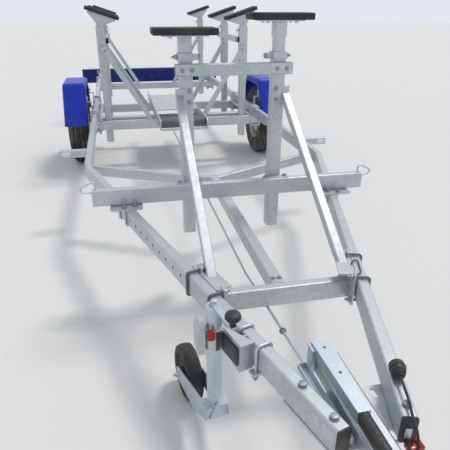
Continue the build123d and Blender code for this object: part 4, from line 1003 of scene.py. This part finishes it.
def make_lamps():
    """Lenses of the marker lamps, and the rear lamps with their black rims."""
    markers = bmesh.new()
    lenses = bmesh.new()
    rims = bmesh.new()
    rows = ((0.0, 1.0), (0.004, 1.0), (0.006, 0.93), (0.0085, 0.90), (0.0115, 0.62), (0.012, 0.0))
    stretch = Matrix.Diagonal((0.032, 0.014, 1, 1))
    facing = Matrix(((0, 0, 1, 0), (1, 0, 0, 0), (0, 1, 0, 0), (0, 0, 0, 1)))
    for side in (1, -1):
        centre = Vector((at(MARKER_STATION) + 0.020, side * 0.885, 0.501))
        add_turned(markers, rows, Matrix.Translation(centre) @ facing @ stretch, steps=40)
        low, high = sorted((side * 0.960, side * 0.740))
        add_block(lenses, (BOARD_REAR, low, 0.3825), (BOARD_BACK, high, 0.4825), round_off=0.006)
        rim_low, rim_high = (-3.644, low - 0.003, 0.3795), (BOARD_BACK, high + 0.003, 0.4855)
        add_block(rims, rim_low, rim_high, round_off=0.002)
    piece = make_piece(markers, "marker_lenses", "chassis", "white_reflector")
    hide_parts("marker_lamps")
    piece = make_piece(lenses, "rear_lenses", "light_board", "red_lens")
    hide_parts("rear_lamps")
    make_piece(rims, "rear_lamp_rims", "light_board", "black_plastic")


def make_board_edge():
    """Pale aluminium edging along the light board's top, and the bolts of its arms."""
    edging = bmesh.new()
    add_block(edging, (-3.6265, -0.995, 0.5265), (-3.5985, 0.995, 0.5370), round_off=0.0015)
    bolts = bmesh.new()
    for y in (-0.778, 0.778):
        for height in (0.470, 0.502):
            stamp(bolts, FRAME_BOLT, placed((BOARD_FRONT, y, height), (1, 0, 0)))
    make_piece(edging, "board_edging", "light_board", "silver_paint")
    make_piece(bolts, "board_bolts", "light_board", "zinc_plated")


def make_plug_and_lead():
    """Ribbed plug with its lid, and the lead from it to the left arm's end cap."""
    heading = arm_heading(1)
    middle = arm_point(PLUG_STATION, 1, PLUG_HEIGHT)
    plug = bmesh.new()
    rows = (
        (0.0, 0.0), (0.0, 0.0190), (0.0015, 0.0205), (0.010, 0.0205), (0.011, 0.0220),
        (0.018, 0.0220), (0.019, 0.0200), (0.030, 0.0185), (0.031, 0.0165), (0.034, 0.0165),
        (0.035, 0.0150), (0.038, 0.0150), (0.039, 0.0130), (0.042, 0.0130), (0.0425, 0.0095),
        (0.046, 0.0085), (0.046, 0.0),
    )
    add_turned(plug, rows, placed(middle - heading * PLUG_HALF, heading), steps=28)
    plug_piece = make_piece(plug, "lead_plug_body", "chassis", "black_plastic")
    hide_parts("lead_plug")
    front = middle + heading * PLUG_HALF
    left = Vector((-heading.y, heading.x, 0))
    to_gland = (ARM_END_STATION - PLUG_STATION) / heading.x - PLUG_HALF + 0.017
    route = (
        # ahead of the plug's end, to the left, height
        (0, 0, PLUG_HEIGHT), (0.038, 0, PLUG_HEIGHT), (0.078, 0.002, 0.544), (0.118, -0.001, 0.538),
        (to_gland + 0.033, 0, 0.536), (to_gland + 0.056, 0, 0.512), (to_gland + 0.056, 0, 0.479),
        (to_gland + 0.033, 0, GLAND_HEIGHT), (to_gland, 0, GLAND_HEIGHT),
    )
    ground = Vector((front.x, front.y, 0))
    points = [ground + heading * ahead + left * aside + Vector((0, 0, height))
              for ahead, aside, height in route]
    line = new_round_curve("trailer_lead_line", LEAD_RADIUS, 3)
    spline = add_spline(line, "NURBS", points)
    spline.order_u = 3
    spline.use_endpoint_u = True
    spline.resolution_u = 12
    lead = add_to_body(line, "trailer_lead_line", "chassis", "black_rubber")
    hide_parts("trailer_lead")


def place_camera():
    """The photograph's camera."""
    data = bpy.data.cameras.new("photo_camera")
    data.sensor_width = 36.0
    data.lens = CAMERA_LENS
    data.clip_end = 100.0
    camera = bpy.data.objects.new("photo_camera", data)
    bpy.context.collection.objects.link(camera)
    forward = Vector((
        -cos(CAMERA_YAW) * cos(CAMERA_PITCH), sin(CAMERA_YAW) * cos(CAMERA_PITCH),
        -sin(CAMERA_PITCH),
    ))
    turned = forward.to_track_quat("-Z", "Y").to_matrix().to_4x4()
    roll = Matrix.Rotation(CAMERA_ROLL, 4, "Z")
    camera.matrix_world = Matrix.Translation(CAMERA_PLACE) @ turned @ roll
    bpy.context.scene.camera = camera


def lay_floor():
    """A pale floor, far wider than the trailer."""
    shape = bmesh.new()
    bmesh.ops.create_grid(shape, x_segments=1, y_segments=1, size=FLOOR_REACH)
    mesh = bpy.data.meshes.new("floor")
    shape.to_mesh(mesh)
    shape.free()
    floor = bpy.data.objects.new("floor", mesh)
    bpy.context.collection.objects.link(floor)
    material, _, shader = new_material("pale_floor", 0.0, 0.9)
    shader.inputs["Base Color"].default_value = FLOOR_COLOUR
    mesh.materials.append(material)


def light_scene():
    """A pale sky, dimmer as light than as it shows, and a soft sun from the trailer's left."""
    world = bpy.data.worlds.new("pale_sky")
    world.use_nodes = True
    tree = world.node_tree
    sky = tree.nodes["Background"]
    sky.inputs["Color"].default_value = SKY_COLOUR
    rays = tree.nodes.new("ShaderNodeLightPath")
    seen = add_math(tree, "MAXIMUM", rays.outputs["Is Camera Ray"], rays.outputs["Is Glossy Ray"])
    seen = add_math(tree, "MAXIMUM", seen, rays.outputs["Is Transmission Ray"])
    strength = add_range(tree, seen, 0.0, 1.0, SKY_LIGHT, SKY_SEEN)
    tree.links.new(strength, sky.inputs["Strength"])
    bpy.context.scene.world = world
    data = bpy.data.lights.new("soft_sun", "SUN")
    data.energy = SUN_LIGHT
    data.angle = SUN_SPREAD
    data.color = SUN_COLOUR
    sun = bpy.data.objects.new("soft_sun", data)
    sun.rotation_euler = Vector(SUN_HEADING).to_track_quat("-Z", "Y").to_euler()
    bpy.context.collection.objects.link(sun)


place_camera()
make_plug_and_lead()
dress_frame()
make_arm_labels()
make_front_seat_nuts()
make_frame_fasteners()
make_tie_downs()
make_rear_post_screws()
make_pads()
for side_name, way_out in SIDES:
    make_tyre(side_name, way_out)
    make_wheel_fittings(side_name, way_out)
make_bellows()
make_grip()
make_cable_tab()
make_rod_guide()
make_safety_clip()
make_jockey_top()
make_jockey_wheel()
make_jockey_clamp()
make_lamps()
make_board_edge()
lay_floor()
light_scene()
bpy.context.scene.view_settings.view_transform = "Standard"
